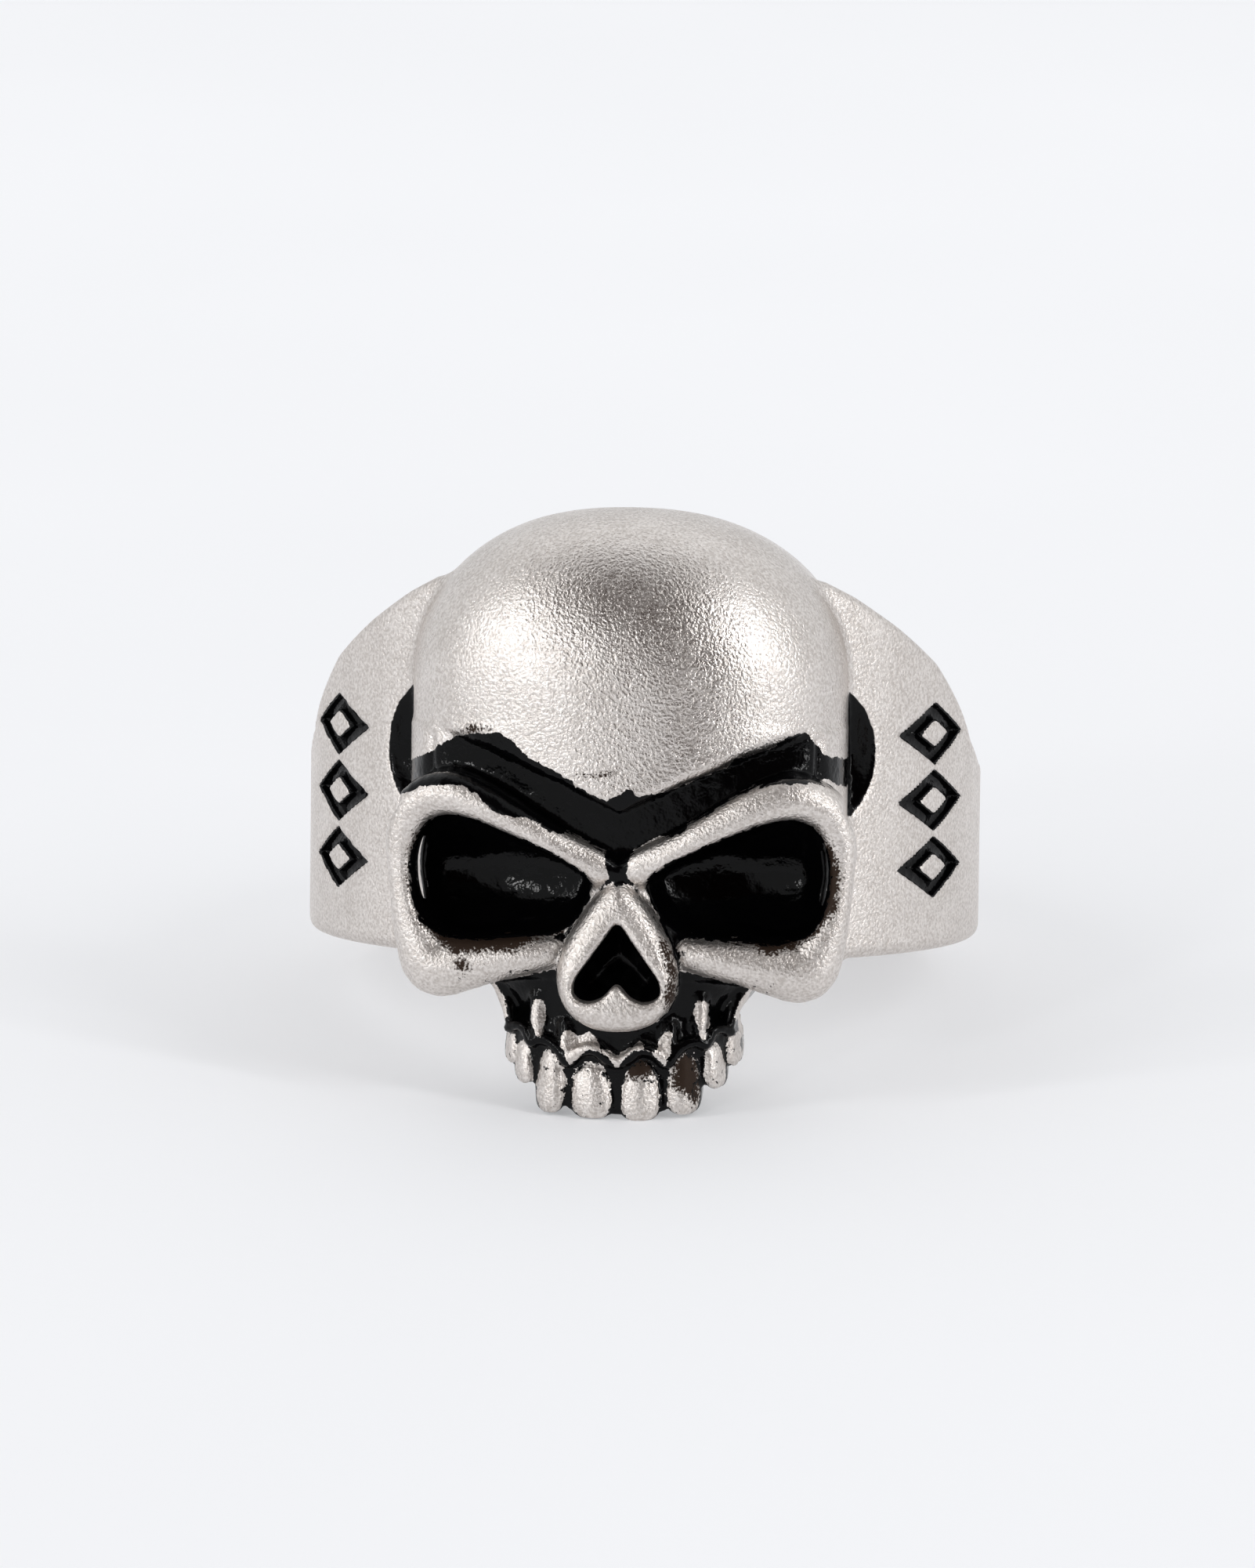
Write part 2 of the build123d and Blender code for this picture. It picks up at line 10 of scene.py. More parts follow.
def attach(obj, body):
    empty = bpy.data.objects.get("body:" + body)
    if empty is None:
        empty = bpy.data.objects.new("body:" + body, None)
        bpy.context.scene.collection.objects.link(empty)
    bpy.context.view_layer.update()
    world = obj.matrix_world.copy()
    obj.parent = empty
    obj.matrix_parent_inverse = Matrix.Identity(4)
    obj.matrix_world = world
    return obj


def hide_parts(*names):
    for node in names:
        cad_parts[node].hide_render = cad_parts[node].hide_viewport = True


# Looks of a one-piece silver ring whose head is a skull without a lower jaw. The form is worked
# out in millimetres in the ring's own frame: finger axis along Z, face towards -Y, the band's
# lower edge at Z = 0. It is then laid down as the frame's solid lies.

MM = 0.001

# Sizes shared with the solid, in millimetres and degrees
bore_radius = 9.9
band_wall = 2.1
shank_thinning = 0.3
band_edge_round = 0.5
skull_width = 16.0
skull_height = 20.8
jaw_drop = 5.15
face_reach = 15.6
recess_radius = 2.35
recess_depth = 1.0
recess_angle = 34.5
recess_height = 0.454
engraving_depth = 0.35
engraving_angle = 61.0
engraving_height = 0.34
lozenge_count = 3
lozenge_reach = 2.1
lozenge_rise = 1.05
lozenge_pitch = 2.35
lozenge_heart = 0.5
tooth_thickness = 1.3
gum_thickness = 1.3
rim_thickness = 1.2

# Places of the head's sub-parts: "up" values are shares of the skull's height from the tips of
# the teeth, "half" values shares of the half width, "front" and "back" values shares of the
# relief behind the brow, "reach" values shares of the relief
head_middle_front = 1.10
head_back = 1.47
dome_half = 0.94
dome_start_up = 0.70
dome_foot_up = 0.39
dome_reach = 1.044
cheek_half = 0.925
cheek_reach = 0.92
cheek_top_up = 0.63
cheek_foot_up = 0.236
groove_floor_front = 0.28
temple_half = 0.825
temple_floor_front = 0.53
jaw_middle_front = 1.05
jaw_reach = 0.87
jaw_top_up = 0.305
jaw_foot_up = 0.098
palate_foot_up = 0.103
palate_front = 0.53
web_half = 0.49
web_top_up = 0.16
nose_front = -0.06
nose_back = 0.55
nose_floor_front = 0.02
socket_floor_front = 0.23
socket_sweep_half = 0.375
socket_middle_half, socket_middle_up = 0.52, 0.395
socket_outer_half = 0.75
skull_wall_half = 0.945

# Depths and widths of round-bottomed hollows, millimetres
nose_wall, nose_depth = 0.9, 1.9
socket_wall, socket_wall_depth = 1.0, 3.2
socket_depth, socket_rise, socket_outer_rise = 2.9, 0.9, 0.8
socket_reach_across, socket_reach_up = 3.0, 1.7
# Teeth: fall of a tooth's front at its sides, rise of its tip towards the back, millimetres and
# millimetres a millimetre, and its length behind the gum as a share of its height
tooth_crown = 0.28
tooth_tip_rise = 0.35
tooth_length = 1.25
# The wall behind the teeth: its place behind their front and its thickness, as shares of theirs
web_place, web_thickness = 0.24, 0.32

# Slopes, in millimetres a millimetre, and curves, in millimetres a square millimetre
nose_slope = 0.10
palate_slope = 0.95
groove_curve = 0.027
socket_sweep = 0.03

# Power of each rounded form: 2 is an ellipse, and a larger one is fuller at its corners
dome_power = 2.2
cheek_power = 2.7
jaw_power = 2.8
# What makes the palate's rise a distance: about the cosine of its slope
palate_scale = 0.72

# Fillets where one sub-part meets another, millimetres
dome_foot_fillet = 0.6
dome_to_cheek = 0.5
groove_fillet = 0.45
rim_fillet = 0.35
jaw_fillet = 0.4
web_fillet = 0.2
web_edge_round = 0.12
gum_fillet = 0.25
jaw_to_skull = 0.3
socket_fillet = 0.25
socket_floor_blend = 0.5
nose_edge_round = 0.9
nose_fillet = 0.15
nose_hollow_fillet = 0.2
tooth_fillet = 0.06
tooth_tip_round = 0.34
tooth_edge_round = 0.22
skull_to_band = 0.25
recess_fillet = 0.12
engraving_fillet = 0.06
bore_edge_round = 0.25

# Degrees round from the face over which the shank thins
thinning_start, thinning_end = 95, 165
curve_steps = 4
outline_steps = 4

outer_radius = bore_radius + band_wall
half_width = skull_width / 2
crown_height = skull_height - jaw_drop
relief = face_reach - bore_radius
# A distance that is farther than any fillet reaches, and one that keeps a division sound
far = 9.0
tiny = 1e-6

# Top edge of the band: degrees round from the face, height as a share of the crown height
BAND_TOP = [
    (0, 0.85), (30, 0.85), (35, 0.838), (41, 0.804), (51, 0.735), (62, 0.652),
    (72, 0.545), (78, 0.47), (86, 0.415), (100, 0.392), (180, 0.383),
]
# Height of the crest over the finger hole, as a share of the crown height, by degrees
CREST = [(0, 1.00), (18, 0.985), (28, 0.945), (36, 0.885), (44, 0.785), (180, 0.3)]

# Tables of the face. Their columns are
#   across: share of the half width, out from the middle
#   up: share of the skull's height, from the tips of the teeth
#   front: how far the piece's front lies behind the brow, as a share of the relief
#   radius: share of the half width
EYE_RIM = [
    (0.106, 0.421, 0.045, 0.062), (0.2, 0.438, 0.015, 0.062), (0.31, 0.463, 0, 0.067),
    (0.437, 0.491, 0, 0.075), (0.587, 0.52, 0.005, 0.087), (0.737, 0.535, 0.04, 0.096),
    (0.862, 0.515, 0.11, 0.092), (0.928, 0.465, 0.165, 0.074), (0.932, 0.405, 0.185, 0.06),
    (0.908, 0.345, 0.175, 0.07), (0.856, 0.296, 0.15, 0.104), (0.786, 0.254, 0.12, 0.138),
    (0.672, 0.256, 0.1, 0.124), (0.53, 0.264, 0.085, 0.094), (0.4, 0.272, 0.075, 0.08),
    (0.3, 0.278, 0.09, 0.068),
]
EYE_SOCKET = [
    (0.125, 0.395), (0.22, 0.427), (0.337, 0.45), (0.525, 0.48), (0.69, 0.499),
    (0.815, 0.486), (0.88, 0.44), (0.885, 0.385), (0.845, 0.332), (0.76, 0.306),
    (0.64, 0.299), (0.467, 0.303), (0.27, 0.312), (0.17, 0.345),
]
NOSE = [
    (0, 0.4), (0.085, 0.378), (0.165, 0.335), (0.225, 0.296), (0.258, 0.25),
    (0.245, 0.21), (0.195, 0.178), (0.11, 0.158), (0, 0.152),
]
NOSE_HOLLOW = [
    (0, 0.33), (0.06, 0.303), (0.125, 0.268), (0.178, 0.238), (0.182, 0.213),
    (0.125, 0.201), (0.06, 0.209), (0, 0.23),
]
# Edges of the groove over the brow: across, lower edge's up, upper edge's up
BROW_GROOVE = [
    (0, 0.428, 0.507), (0.09, 0.447, 0.524), (0.17, 0.461, 0.538), (0.25, 0.476, 0.555),
    (0.34, 0.495, 0.568), (0.425, 0.517, 0.582), (0.5, 0.534, 0.596), (0.6, 0.555, 0.61),
    (0.69, 0.57, 0.624), (0.78, 0.575, 0.632), (0.88, 0.56, 0.612), (0.96, 0.531, 0.59),
    (1.1, 0.488, 0.555),
]
# Sides of the jaw: up, half the width as a share of the half width
JAW_SIDE = [
    (0.074, 0.468), (0.13, 0.472), (0.17, 0.51), (0.2, 0.568), (0.224, 0.635), (0.3, 0.76),
]
# Front of the row of teeth: across, front
TOOTH_ARCH = [
    (0, 0.118), (0.1, 0.125), (0.2, 0.15), (0.291, 0.185), (0.36, 0.24),
    (0.424, 0.32), (0.496, 0.48), (0.56, 0.72),
]
# Teeth from one side to the other: across, half the width, tip's up, neck's up, lean of the neck
TEETH = [
    (-0.468, 0.034, 0.082, 0.142, 0), (-0.402, 0.047, 0.053, 0.126, -0.014),
    (-0.289, 0.068, 0.009, 0.12, 0.006), (-0.104, 0.096, 0.003, 0.096, -0.012),
    (0.098, 0.091, 0, 0.101, 0.006), (0.283, 0.076, 0.01, 0.116, 0),
    (0.418, 0.049, 0.049, 0.13, -0.014), (0.488, 0.034, 0.082, 0.147, 0),
]
# A tooth's half width from tip to neck, and how far its front falls back, in millimetres
TOOTH_SHAPE = [
    (0, 0.7, 0.14), (0.1, 0.86, 0.05), (0.22, 0.96, 0.01), (0.36, 1.00, 0),
    (0.55, 0.94, 0.02), (0.75, 0.8, 0.08), (0.9, 0.66, 0.18), (1.00, 0.54, 0.3),
    (1.2, 0.44, 0.6),
]
# Lower edge of the wall behind the teeth: across, up
WEB_EDGE = [(0, 0.012), (0.2, 0.018), (0.355, 0.055), (0.46, 0.088), (0.56, 0.11)]
# Scalloped edge of the gum over the teeth: across, up, front, radius
GUM_LINE = [
    (0, 0.098, 0.11, 0.024), (0.045, 0.106, 0.11, 0.024), (0.1, 0.121, 0.105, 0.024),
    (0.165, 0.115, 0.115, 0.024), (0.212, 0.099, 0.13, 0.026), (0.245, 0.115, 0.145, 0.022),
    (0.29, 0.13, 0.165, 0.022), (0.34, 0.133, 0.19, 0.022), (0.372, 0.128, 0.215, 0.024),
    (0.4, 0.146, 0.25, 0.02), (0.432, 0.153, 0.29, 0.02), (0.475, 0.146, 0.36, 0.022),
]
# Ridges that rise from the points of that edge
GUM_RIDGES = [
    [(0.212, 0.102, 0.13, 0.034), (0.22, 0.128, 0.15, 0.04), (0.222, 0.158, 0.18, 0.026)],
    [(0.345, 0.132, 0.205, 0.022), (0.345, 0.165, 0.215, 0.036), (0.345, 0.202, 0.235, 0.034)],
    [(0.462, 0.146, 0.35, 0.022), (0.478, 0.18, 0.37, 0.03), (0.53, 0.222, 0.42, 0.028)],
]
BRIDGE = [(0, 0.425, 0.21, 0.03), (0, 0.398, 0.12, 0.048), (0, 0.36, 0.075, 0.066)]


def curve_through(rows, steps, closed):
    """Smooth rows through the rows of a table, steps to each gap"""
    rows = np.array(rows, float)
    if closed:
        padded = np.vstack([rows[-1], rows, rows[0], rows[1]])
    else:
        padded = np.vstack([2 * rows[0] - rows[1], rows, 2 * rows[-1] - rows[-2]])
    smooth = []
    for before, start, end, after in zip(padded[:-3], padded[1:-2], padded[2:-1], padded[3:]):
        for t in np.arange(steps) / steps:
            smooth.append(0.5 * (2 * start + (end - before) * t
                                 + (2 * before - 5 * start + 4 * end - after) * t ** 2
                                 + (3 * start - before - 3 * end + after) * t ** 3))
    if not closed:
        smooth.append(rows[-1])
    return np.array(smooth)


def height(up):
    """Height above the band's lower edge of a share of the skull's height"""
    return up * skull_height - jaw_drop


def front_plane(front):
    """Y of a surface whose front lies behind the brow by a share of the relief"""
    return -face_reach + front * relief


def outline(rows):
    """Across and up columns to an outline in the X-Z plane"""
    rows = np.array(rows, float)
    return np.stack([rows[:, 0] * half_width, height(rows[:, 1])], 1)


def mirrored(points):
    """A half outline from top to bottom on the middle line, closed with its mirror image"""
    return np.vstack([points, points[-2:0:-1] * [-1, 1]])


def ridge_path(rows):
    """Across, up, front and radius columns to rows of x, y, z and radius"""
    rows = np.array(rows, float)
    radius = rows[:, 3] * half_width
    x = rows[:, 0] * half_width
    return np.stack([x, front_plane(rows[:, 2]) + radius, height(rows[:, 1]), radius], 1)


def column(table, number):
    return np.array(table)[:, number]


def read(table, at, number=1):
    """A column of a table, read at a place in its first column"""
    return np.interp(at, column(table, 0), column(table, number))


def smooth_union(a, b, blend):
    share = np.clip(0.5 + 0.5 * (b - a) / blend, 0, 1)
    return b + (a - b) * share - blend * share * (1 - share)


def smooth_meet(a, b, blend):
    return -smooth_union(-a, -b, blend)


def smooth_cut(solid, tool, blend):
    return smooth_meet(solid, -tool, blend)


def smooth_step(low, high, value):
    share = np.clip((value - low) / (high - low), 0, 1)
    return share * share * (3 - 2 * share)


def within(box, piece, x, y, z):
    """The piece's distance inside its box of (low, high) x, y and z, and a large one elsewhere"""
    (x0, x1), (y0, y1), (z0, z1) = box
    inside = (x > x0) & (x < x1) & (y > y0) & (y < y1) & (z > z0) & (z < z1)
    distance = np.full(x.shape, far)
    distance[inside] = piece(x[inside], y[inside], z[inside])
    return distance


def rounded_form(terms, power):
    """Distance to a rounded box: terms are pairs of distance from its middle and half its size"""
    total = np.maximum(sum((d / size) ** power for d, size in terms) ** (1 / power), tiny)
    slope = np.sqrt(sum(((d / size / total) ** (power - 1) / size) ** 2 for d, size in terms))
    return (total - 1) / np.maximum(slope, tiny)


def ridge(x, y, z, path, depth):
    """Distance to a ridge along a path: half round in front, with straight sides behind"""
    best = np.full(x.shape, np.inf)
    for start, end in zip(path[:-1], path[1:]):
        step = end - start
        run = (x - start[0]) * step[0] + (z - start[2]) * step[2]
        t = np.clip(run / (step[0] ** 2 + step[2] ** 2), 0, 1)
        proud = start[1] + t * step[1] - y
        proud = np.where(proud < 0, np.minimum(proud + depth, 0), proud)
        gap = np.sqrt((x - start[0] - t * step[0]) ** 2 + (z - start[2] - t * step[2]) ** 2 + proud ** 2)
        best = np.minimum(best, gap - start[3] - t * step[3])
    return best


def outline_distance(x, z, points):
    """Distance in the X-Z plane to a closed outline, negative inside"""
    best = np.full(x.shape, np.inf)
    sign = np.ones(x.shape)
    for start, end in zip(points, np.roll(points, -1, axis=0)):
        step = end - start
        dx = x - start[0]
        dz = z - start[1]
        t = np.clip((dx * step[0] + dz * step[1]) / (step @ step), 0, 1)
        best = np.minimum(best, (dx - t * step[0]) ** 2 + (dz - t * step[1]) ** 2)
        side = step[0] * dz - step[1] * dx
        down = (z >= start[1]) & (z < end[1]) & (side > 0)
        up = (z < start[1]) & (z >= end[1]) & (side < 0)
        sign = np.where(down | up, -sign, sign)
    return sign * np.sqrt(best)


def bowl_depth(inside, wall, depth):
    """Depth of a round-bottomed hollow at a distance inside its outline"""
    share = np.clip(inside / wall, 0, 1)
    return depth * np.sqrt(1 - (1 - share) ** 2)


def band_top(angle):
    rows = np.array(BAND_TOP)
    return np.interp(angle, rows[:, 0], rows[:, 1] * crown_height)


def band(x, y, z):
    """Shank and shoulders: a wall round the finger, low at the back and high beside the skull"""
    angle = np.degrees(np.arctan2(np.abs(x), -y))
    wall = outer_radius - shank_thinning * smooth_step(thinning_start, thinning_end, angle)
    edges = np.maximum(z - band_top(angle), -z)
    return smooth_meet(np.hypot(x, y) - wall, edges, band_edge_round)


def cranium(x, y, z):
    rise = np.maximum(z - height(dome_start_up), 0)
    reach = np.maximum(front_plane(head_middle_front) - y, 0)
    dome = rounded_form([(np.abs(x), dome_half * half_width),
                         (rise, crown_height - height(dome_start_up)),
                         (reach, dome_reach * relief)], dome_power)
    floor = height(dome_foot_up) - z
    return np.maximum(smooth_meet(dome, floor, dome_foot_fillet), y - front_plane(head_back))


def cheek_core(x, y, z):
    """The skull behind its eye rims and cheekbones"""
    reach = np.maximum(front_plane(head_middle_front) - y, 0)
    core = rounded_form([(np.abs(x), cheek_half * half_width),
                         (reach, cheek_reach * relief)], cheek_power)
    return np.maximum(core, np.maximum(z - height(cheek_top_up), height(cheek_foot_up) - z))


def brow_groove(x, y, z):
    across = np.abs(x) / half_width
    low = height(read(BROW_GROOVE, across))
    high = height(read(BROW_GROOVE, across, 2))
    slot = np.abs(z - (low + high) / 2) - (high - low) / 2
    floor = y - front_plane(groove_floor_front) - groove_curve * x * x
    temple = np.maximum(temple_half * half_width - np.abs(x), y - front_plane(temple_floor_front))
    return np.maximum(slot, np.minimum(floor, temple))


def jaw(x, y, z):
    """Upper jaw below the cheekbones, with its sloping palate"""
    half = np.interp(z, height(column(JAW_SIDE, 0)), column(JAW_SIDE, 1) * half_width)
    reach = np.maximum(front_plane(jaw_middle_front) - y, 0)
    form = rounded_form([(np.abs(x), half), (reach, jaw_reach * relief)], jaw_power)
    rise = palate_slope * (y - front_plane(palate_front))
    palate = (height(palate_foot_up) - z + rise) * palate_scale
    ends = np.maximum(height(jaw_foot_up) - z, z - height(jaw_top_up))
    return smooth_meet(form, np.maximum(palate, ends), jaw_fillet)


def gum(x, y, z):
    """Scalloped edge over the teeth and the ridges that rise between their roots"""
    across = np.abs(x)
    line = curve_through(ridge_path(GUM_LINE), curve_steps, False)
    form = ridge(across, y, z, line, gum_thickness)
    for rows in GUM_RIDGES:
        form = np.minimum(form, ridge(across, y, z, ridge_path(rows), gum_thickness))
    return form


def tooth_front(x):
    return front_plane(read(TOOTH_ARCH, np.abs(x) / half_width))


def web(x, y, z):
    """Recessed wall that joins the teeth behind their gaps"""
    edge = height(read(WEB_EDGE, np.abs(x) / half_width))
    front = tooth_front(x) + web_place * tooth_thickness
    depth = np.maximum(front - y, y - front - web_thickness * tooth_thickness)
    ends = np.maximum(z - height(web_top_up), np.abs(x) - web_half * half_width)
    return smooth_meet(np.maximum(edge - z, ends), depth, web_edge_round)


def teeth(x, y, z):
    best = np.full(x.shape, far)
    for across, half, tip, neck, lean in TEETH:
        share = (z - height(tip)) / (height(neck) - height(tip))
        width = half * half_width * read(TOOTH_SHAPE, share)
        out = x - half_width * (across + lean * share)
        side = np.abs(out) - width
        fall = read(TOOTH_SHAPE, share, 2)
        front = tooth_front(x) + fall + tooth_crown * (out / (half * half_width)) ** 2
        bottom = height(tip) + tooth_tip_rise * np.maximum(y - front, 0)
        form = smooth_meet(side, bottom - z, tooth_tip_round)
        form = smooth_meet(form, np.maximum(front - y, y - front - tooth_thickness), tooth_edge_round)
        best = np.minimum(best, np.maximum(form, share - tooth_length))
    return best


def nose_mound(x, y, z):
    """The raised pear-shaped rim of the nose"""
    edge = outline_distance(x, z, curve_through(mirrored(outline(NOSE)), outline_steps, True))
    front = front_plane(nose_front) - y + nose_slope * z
    return smooth_meet(edge, np.maximum(front, y - front_plane(nose_back)), nose_edge_round)


def nose_hollow(x, y, z):
    edge = outline_distance(x, z, curve_through(mirrored(outline(NOSE_HOLLOW)), outline_steps, True))
    floor = front_plane(nose_floor_front) + bowl_depth(-edge, nose_wall, nose_depth)
    return np.maximum(edge, y - floor)


def eye_rim(x, y, z):
    line = curve_through(ridge_path(EYE_RIM), curve_steps, False)
    return ridge(np.abs(x), y, z, line, rim_thickness)


def bridge(x, y, z):
    return ridge(x, y, z, ridge_path(BRIDGE), rim_thickness)


def sockets(x, y, z):
    """Steep-walled hollows with dished floors"""
    across = np.abs(x)
    edge = outline_distance(across, z, curve_through(outline(EYE_SOCKET), outline_steps, True))
    sweep = socket_sweep * np.clip(across - socket_sweep_half * half_width, 0, None) ** 2
    wide = (across - socket_middle_half * half_width) / socket_reach_across
    high = (z - height(socket_middle_up)) / socket_reach_up
    outer = np.clip(across - socket_outer_half * half_width, 0, None)
    dish = socket_depth - socket_rise * (wide ** 2 + high ** 2) - socket_outer_rise * outer ** 2
    wall = bowl_depth(-edge, socket_wall, socket_wall_depth)
    floor = front_plane(socket_floor_front) + sweep + smooth_union(wall, dish, socket_floor_blend)
    return np.maximum(edge, y - floor)


# Boxes that the small forms are worked out in: x, y and z
FACE_DEPTH = (-20, -8)
NOSE_BOX = ((-3.4, 3.4), FACE_DEPTH, (-3.2, 4.4))
RIM_BOX = ((-9.4, 9.4), FACE_DEPTH, (-3.0, 8.2))
SOCKET_BOX = ((-8, 8), FACE_DEPTH, (0.2, 6.0))
JAW_BOX = ((-6.8, 6.8), FACE_DEPTH, (-6.4, 2.2))
BRIDGE_BOX = ((-2, 2), FACE_DEPTH, (1.4, 5.6))


def skull(x, y, z):
    form = smooth_union(cranium(x, y, z), cheek_core(x, y, z), dome_to_cheek)
    form = smooth_cut(form, brow_groove(x, y, z), groove_fillet)
    form = smooth_union(form, within(RIM_BOX, eye_rim, x, y, z), rim_fillet)
    form = smooth_union(form, within(BRIDGE_BOX, bridge, x, y, z), rim_fillet)
    jaws = smooth_union(within(JAW_BOX, jaw, x, y, z), within(JAW_BOX, web, x, y, z), web_fillet)
    jaws = smooth_union(jaws, within(JAW_BOX, gum, x, y, z), gum_fillet)
    form = smooth_union(form, jaws, jaw_to_skull)
    form = smooth_cut(form, within(SOCKET_BOX, sockets, x, y, z), socket_fillet)
    form = smooth_union(form, within(NOSE_BOX, nose_mound, x, y, z), nose_fillet)
    form = smooth_cut(form, within(NOSE_BOX, nose_hollow, x, y, z), nose_hollow_fillet)
    form = smooth_union(form, within(JAW_BOX, teeth, x, y, z), tooth_fillet)
    return np.maximum(form, y - front_plane(head_back))


def recess(x, y, z):
    """Dished hollow on each shoulder beside the skull"""
    ball = (recess_radius ** 2 + recess_depth ** 2) / (2 * recess_depth)
    reach = outer_radius + ball - recess_depth
    turn = math.radians(recess_angle)
    gap = np.sqrt((np.abs(x) - reach * math.sin(turn)) ** 2 + (y + reach * math.cos(turn)) ** 2
                  + (z - recess_height * crown_height) ** 2)
    return np.maximum(gap - ball, skull_wall_half * half_width - np.abs(x))


def engraving(x, y, z):
    """Column of ringed lozenges on each shoulder"""
    turn = math.radians(engraving_angle)
    across = np.abs(x) * math.cos(turn) + y * math.sin(turn)
    slope = lozenge_reach * lozenge_rise / math.hypot(lozenge_reach, lozenge_rise)
    best = np.full(x.shape, far)
    for place in range(lozenge_count):
        up = (place - (lozenge_count - 1) / 2) * lozenge_pitch
        out = z - engraving_height * crown_height - up
        share = np.abs(across) / lozenge_reach + np.abs(out) / lozenge_rise
        best = np.minimum(best, np.maximum(share - 1, lozenge_heart - share) * slope)
    return best


def ring(x, y, z):
    """The whole ring; negative in the metal"""
    form = smooth_union(band(x, y, z), skull(x, y, z), skull_to_band)
    form = smooth_cut(form, recess(x, y, z), recess_fillet)
    out = np.hypot(x, y)
    cut = np.maximum(engraving(x, y, z), outer_radius - engraving_depth - out)
    form = smooth_cut(form, cut, engraving_fillet)
    return smooth_meet(form, bore_radius - out, bore_edge_round)


# Grid that the mesh comes from, in cylinder coordinates round the finger, millimetres a cell
cell = 0.128
# Degrees round from the face at which each stretch starts and ends, and its largest step
face_turns = ((0, 38, 3.6 * cell), (38, 74, 5.4 * cell), (74, 180, 20 * cell))
# Cells inside the bore's wall and over the crown, and how much taller the cranium's are
cells_inside, cells_over = 2, 4
crown_cells = 1.4
# The grid stops this far short of the corner of the head's box, in millimetres
grid_corner = 0.4
grid_bottom = -5.5
# The row that is level with the brow, and how far up the band's top edge it may come at most
grid_brow = 0.66
grid_brow_most = 0.9
metal_added = 0.01
# How the mesh's points are moved onto the surface: rounds, step that reads the slope in
# millimetres, smallest slope squared, and largest move as a share of a cell
settle_rounds = 2
slope_probe = 0.01
least_slope = 0.25
largest_move = 0.5
# Rows of an upright wall joined to one, how true that wall is in millimetres, and the degrees
# round from the face past which the shank's outer wall is plain
rows_joined = 8
upright_near = 0.01
shank_start = 76
corners = list(itertools.product((0, 1), repeat=3))


def steps_between(pieces):
    """Values over consecutive pieces, each given as its start, end and largest step"""
    values = []
    for start, end, step in pieces:
        values += list(np.linspace(start, end, math.ceil((end - start) / step), endpoint=False))
    return np.array(values + [pieces[-1][1]])


def grid_nodes():
    """Angle, radius and height of every node. Rows follow the band's top edge on the
    shoulders and run level over the face. The first angle closes the round."""
    half = steps_between(face_turns)
    angles = np.concatenate([half[:-1], 360 - half[:0:-1]])
    corner = math.hypot(half_width, face_reach) - grid_corner
    radii = steps_between(((bore_radius - cells_inside * cell, outer_radius + cell, cell),
                           (outer_radius + cell, corner, cell)))
    brow = height(grid_brow)
    tall = crown_cells * cell
    level = steps_between(((grid_bottom, 0, cell), (0, brow, cell), (brow, crown_height, tall),
                           (crown_height, crown_height + cells_over * cell, tall)))
    heights = []
    for angle in angles:
        turn = min(angle, 360 - angle)
        crest = np.interp(turn, column(CREST, 0), column(CREST, 1) * crown_height)
        top = max(crest, band_top(turn))
        middle = min(brow, grid_brow * grid_brow_most * top)
        heights.append(np.interp(level, [grid_bottom, 0, brow, crown_height, level[-1]],
                                 [grid_bottom, 0, middle, top, top + level[-1] - crown_height]))
    nodes = np.empty((len(angles), len(radii), len(level), 3))
    nodes[..., 0] = angles[:, None, None]
    nodes[..., 1] = radii[None, :, None]
    nodes[..., 2] = np.array(heights)[:, None, :]
    return nodes


def to_xyz(places):
    turn = np.radians(places[..., 0])
    return np.stack([places[..., 1] * np.sin(turn), -places[..., 1] * np.cos(turn), places[..., 2]], -1)


def ring_at(points):
    return ring(points[..., 0], points[..., 1], points[..., 2])


def corner_block(values, corner, shape):
    return values[tuple(slice(shift, shift + size) for shift, size in zip(corner, shape))]


def single_sheet(code):
    """Whether a cell whose metal corners are the code's bits is crossed by one sheet alone"""
    metal = [corner for bit, corner in enumerate(corners) if code >> bit & 1]
    for group in (metal, [corner for corner in corners if corner not in metal]):
        reached = group[:1]
        for corner in reached:
            reached += [other for other in group if other not in reached
                        and sum(abs(p - q) for p, q in zip(corner, other)) == 1]
        if len(reached) < len(group):
            return False
    for axis in range(3):
        for side in (0, 1):
            a, b, c, d = [corner in metal for corner in corners if corner[axis] == side]
            if a == d and b == c and a != b:
                return False
    return True


def filled_where_torn(field):
    """The field with metal added at the few nodes where two sheets would meet in one cell"""
    whole = np.array([single_sheet(code) for code in range(256)])
    shape = np.array(field.shape) - (0, 1, 1)
    while True:
        closed = np.concatenate([field, field[:1]])
        code = sum((corner_block(closed, corner, shape) < 0).astype(int) << bit
                   for bit, corner in enumerate(corners))
        torn = np.argwhere(~whole[code])
        if not len(torn):
            return closed
        for cell_at in torn:
            places = [tuple(cell_at + corner) for corner in corners]
            empty = [place for place in places if closed[place] >= 0]
            node = min(empty, key=lambda place: closed[place])
            field[node[0] % len(field), node[1], node[2]] = -metal_added


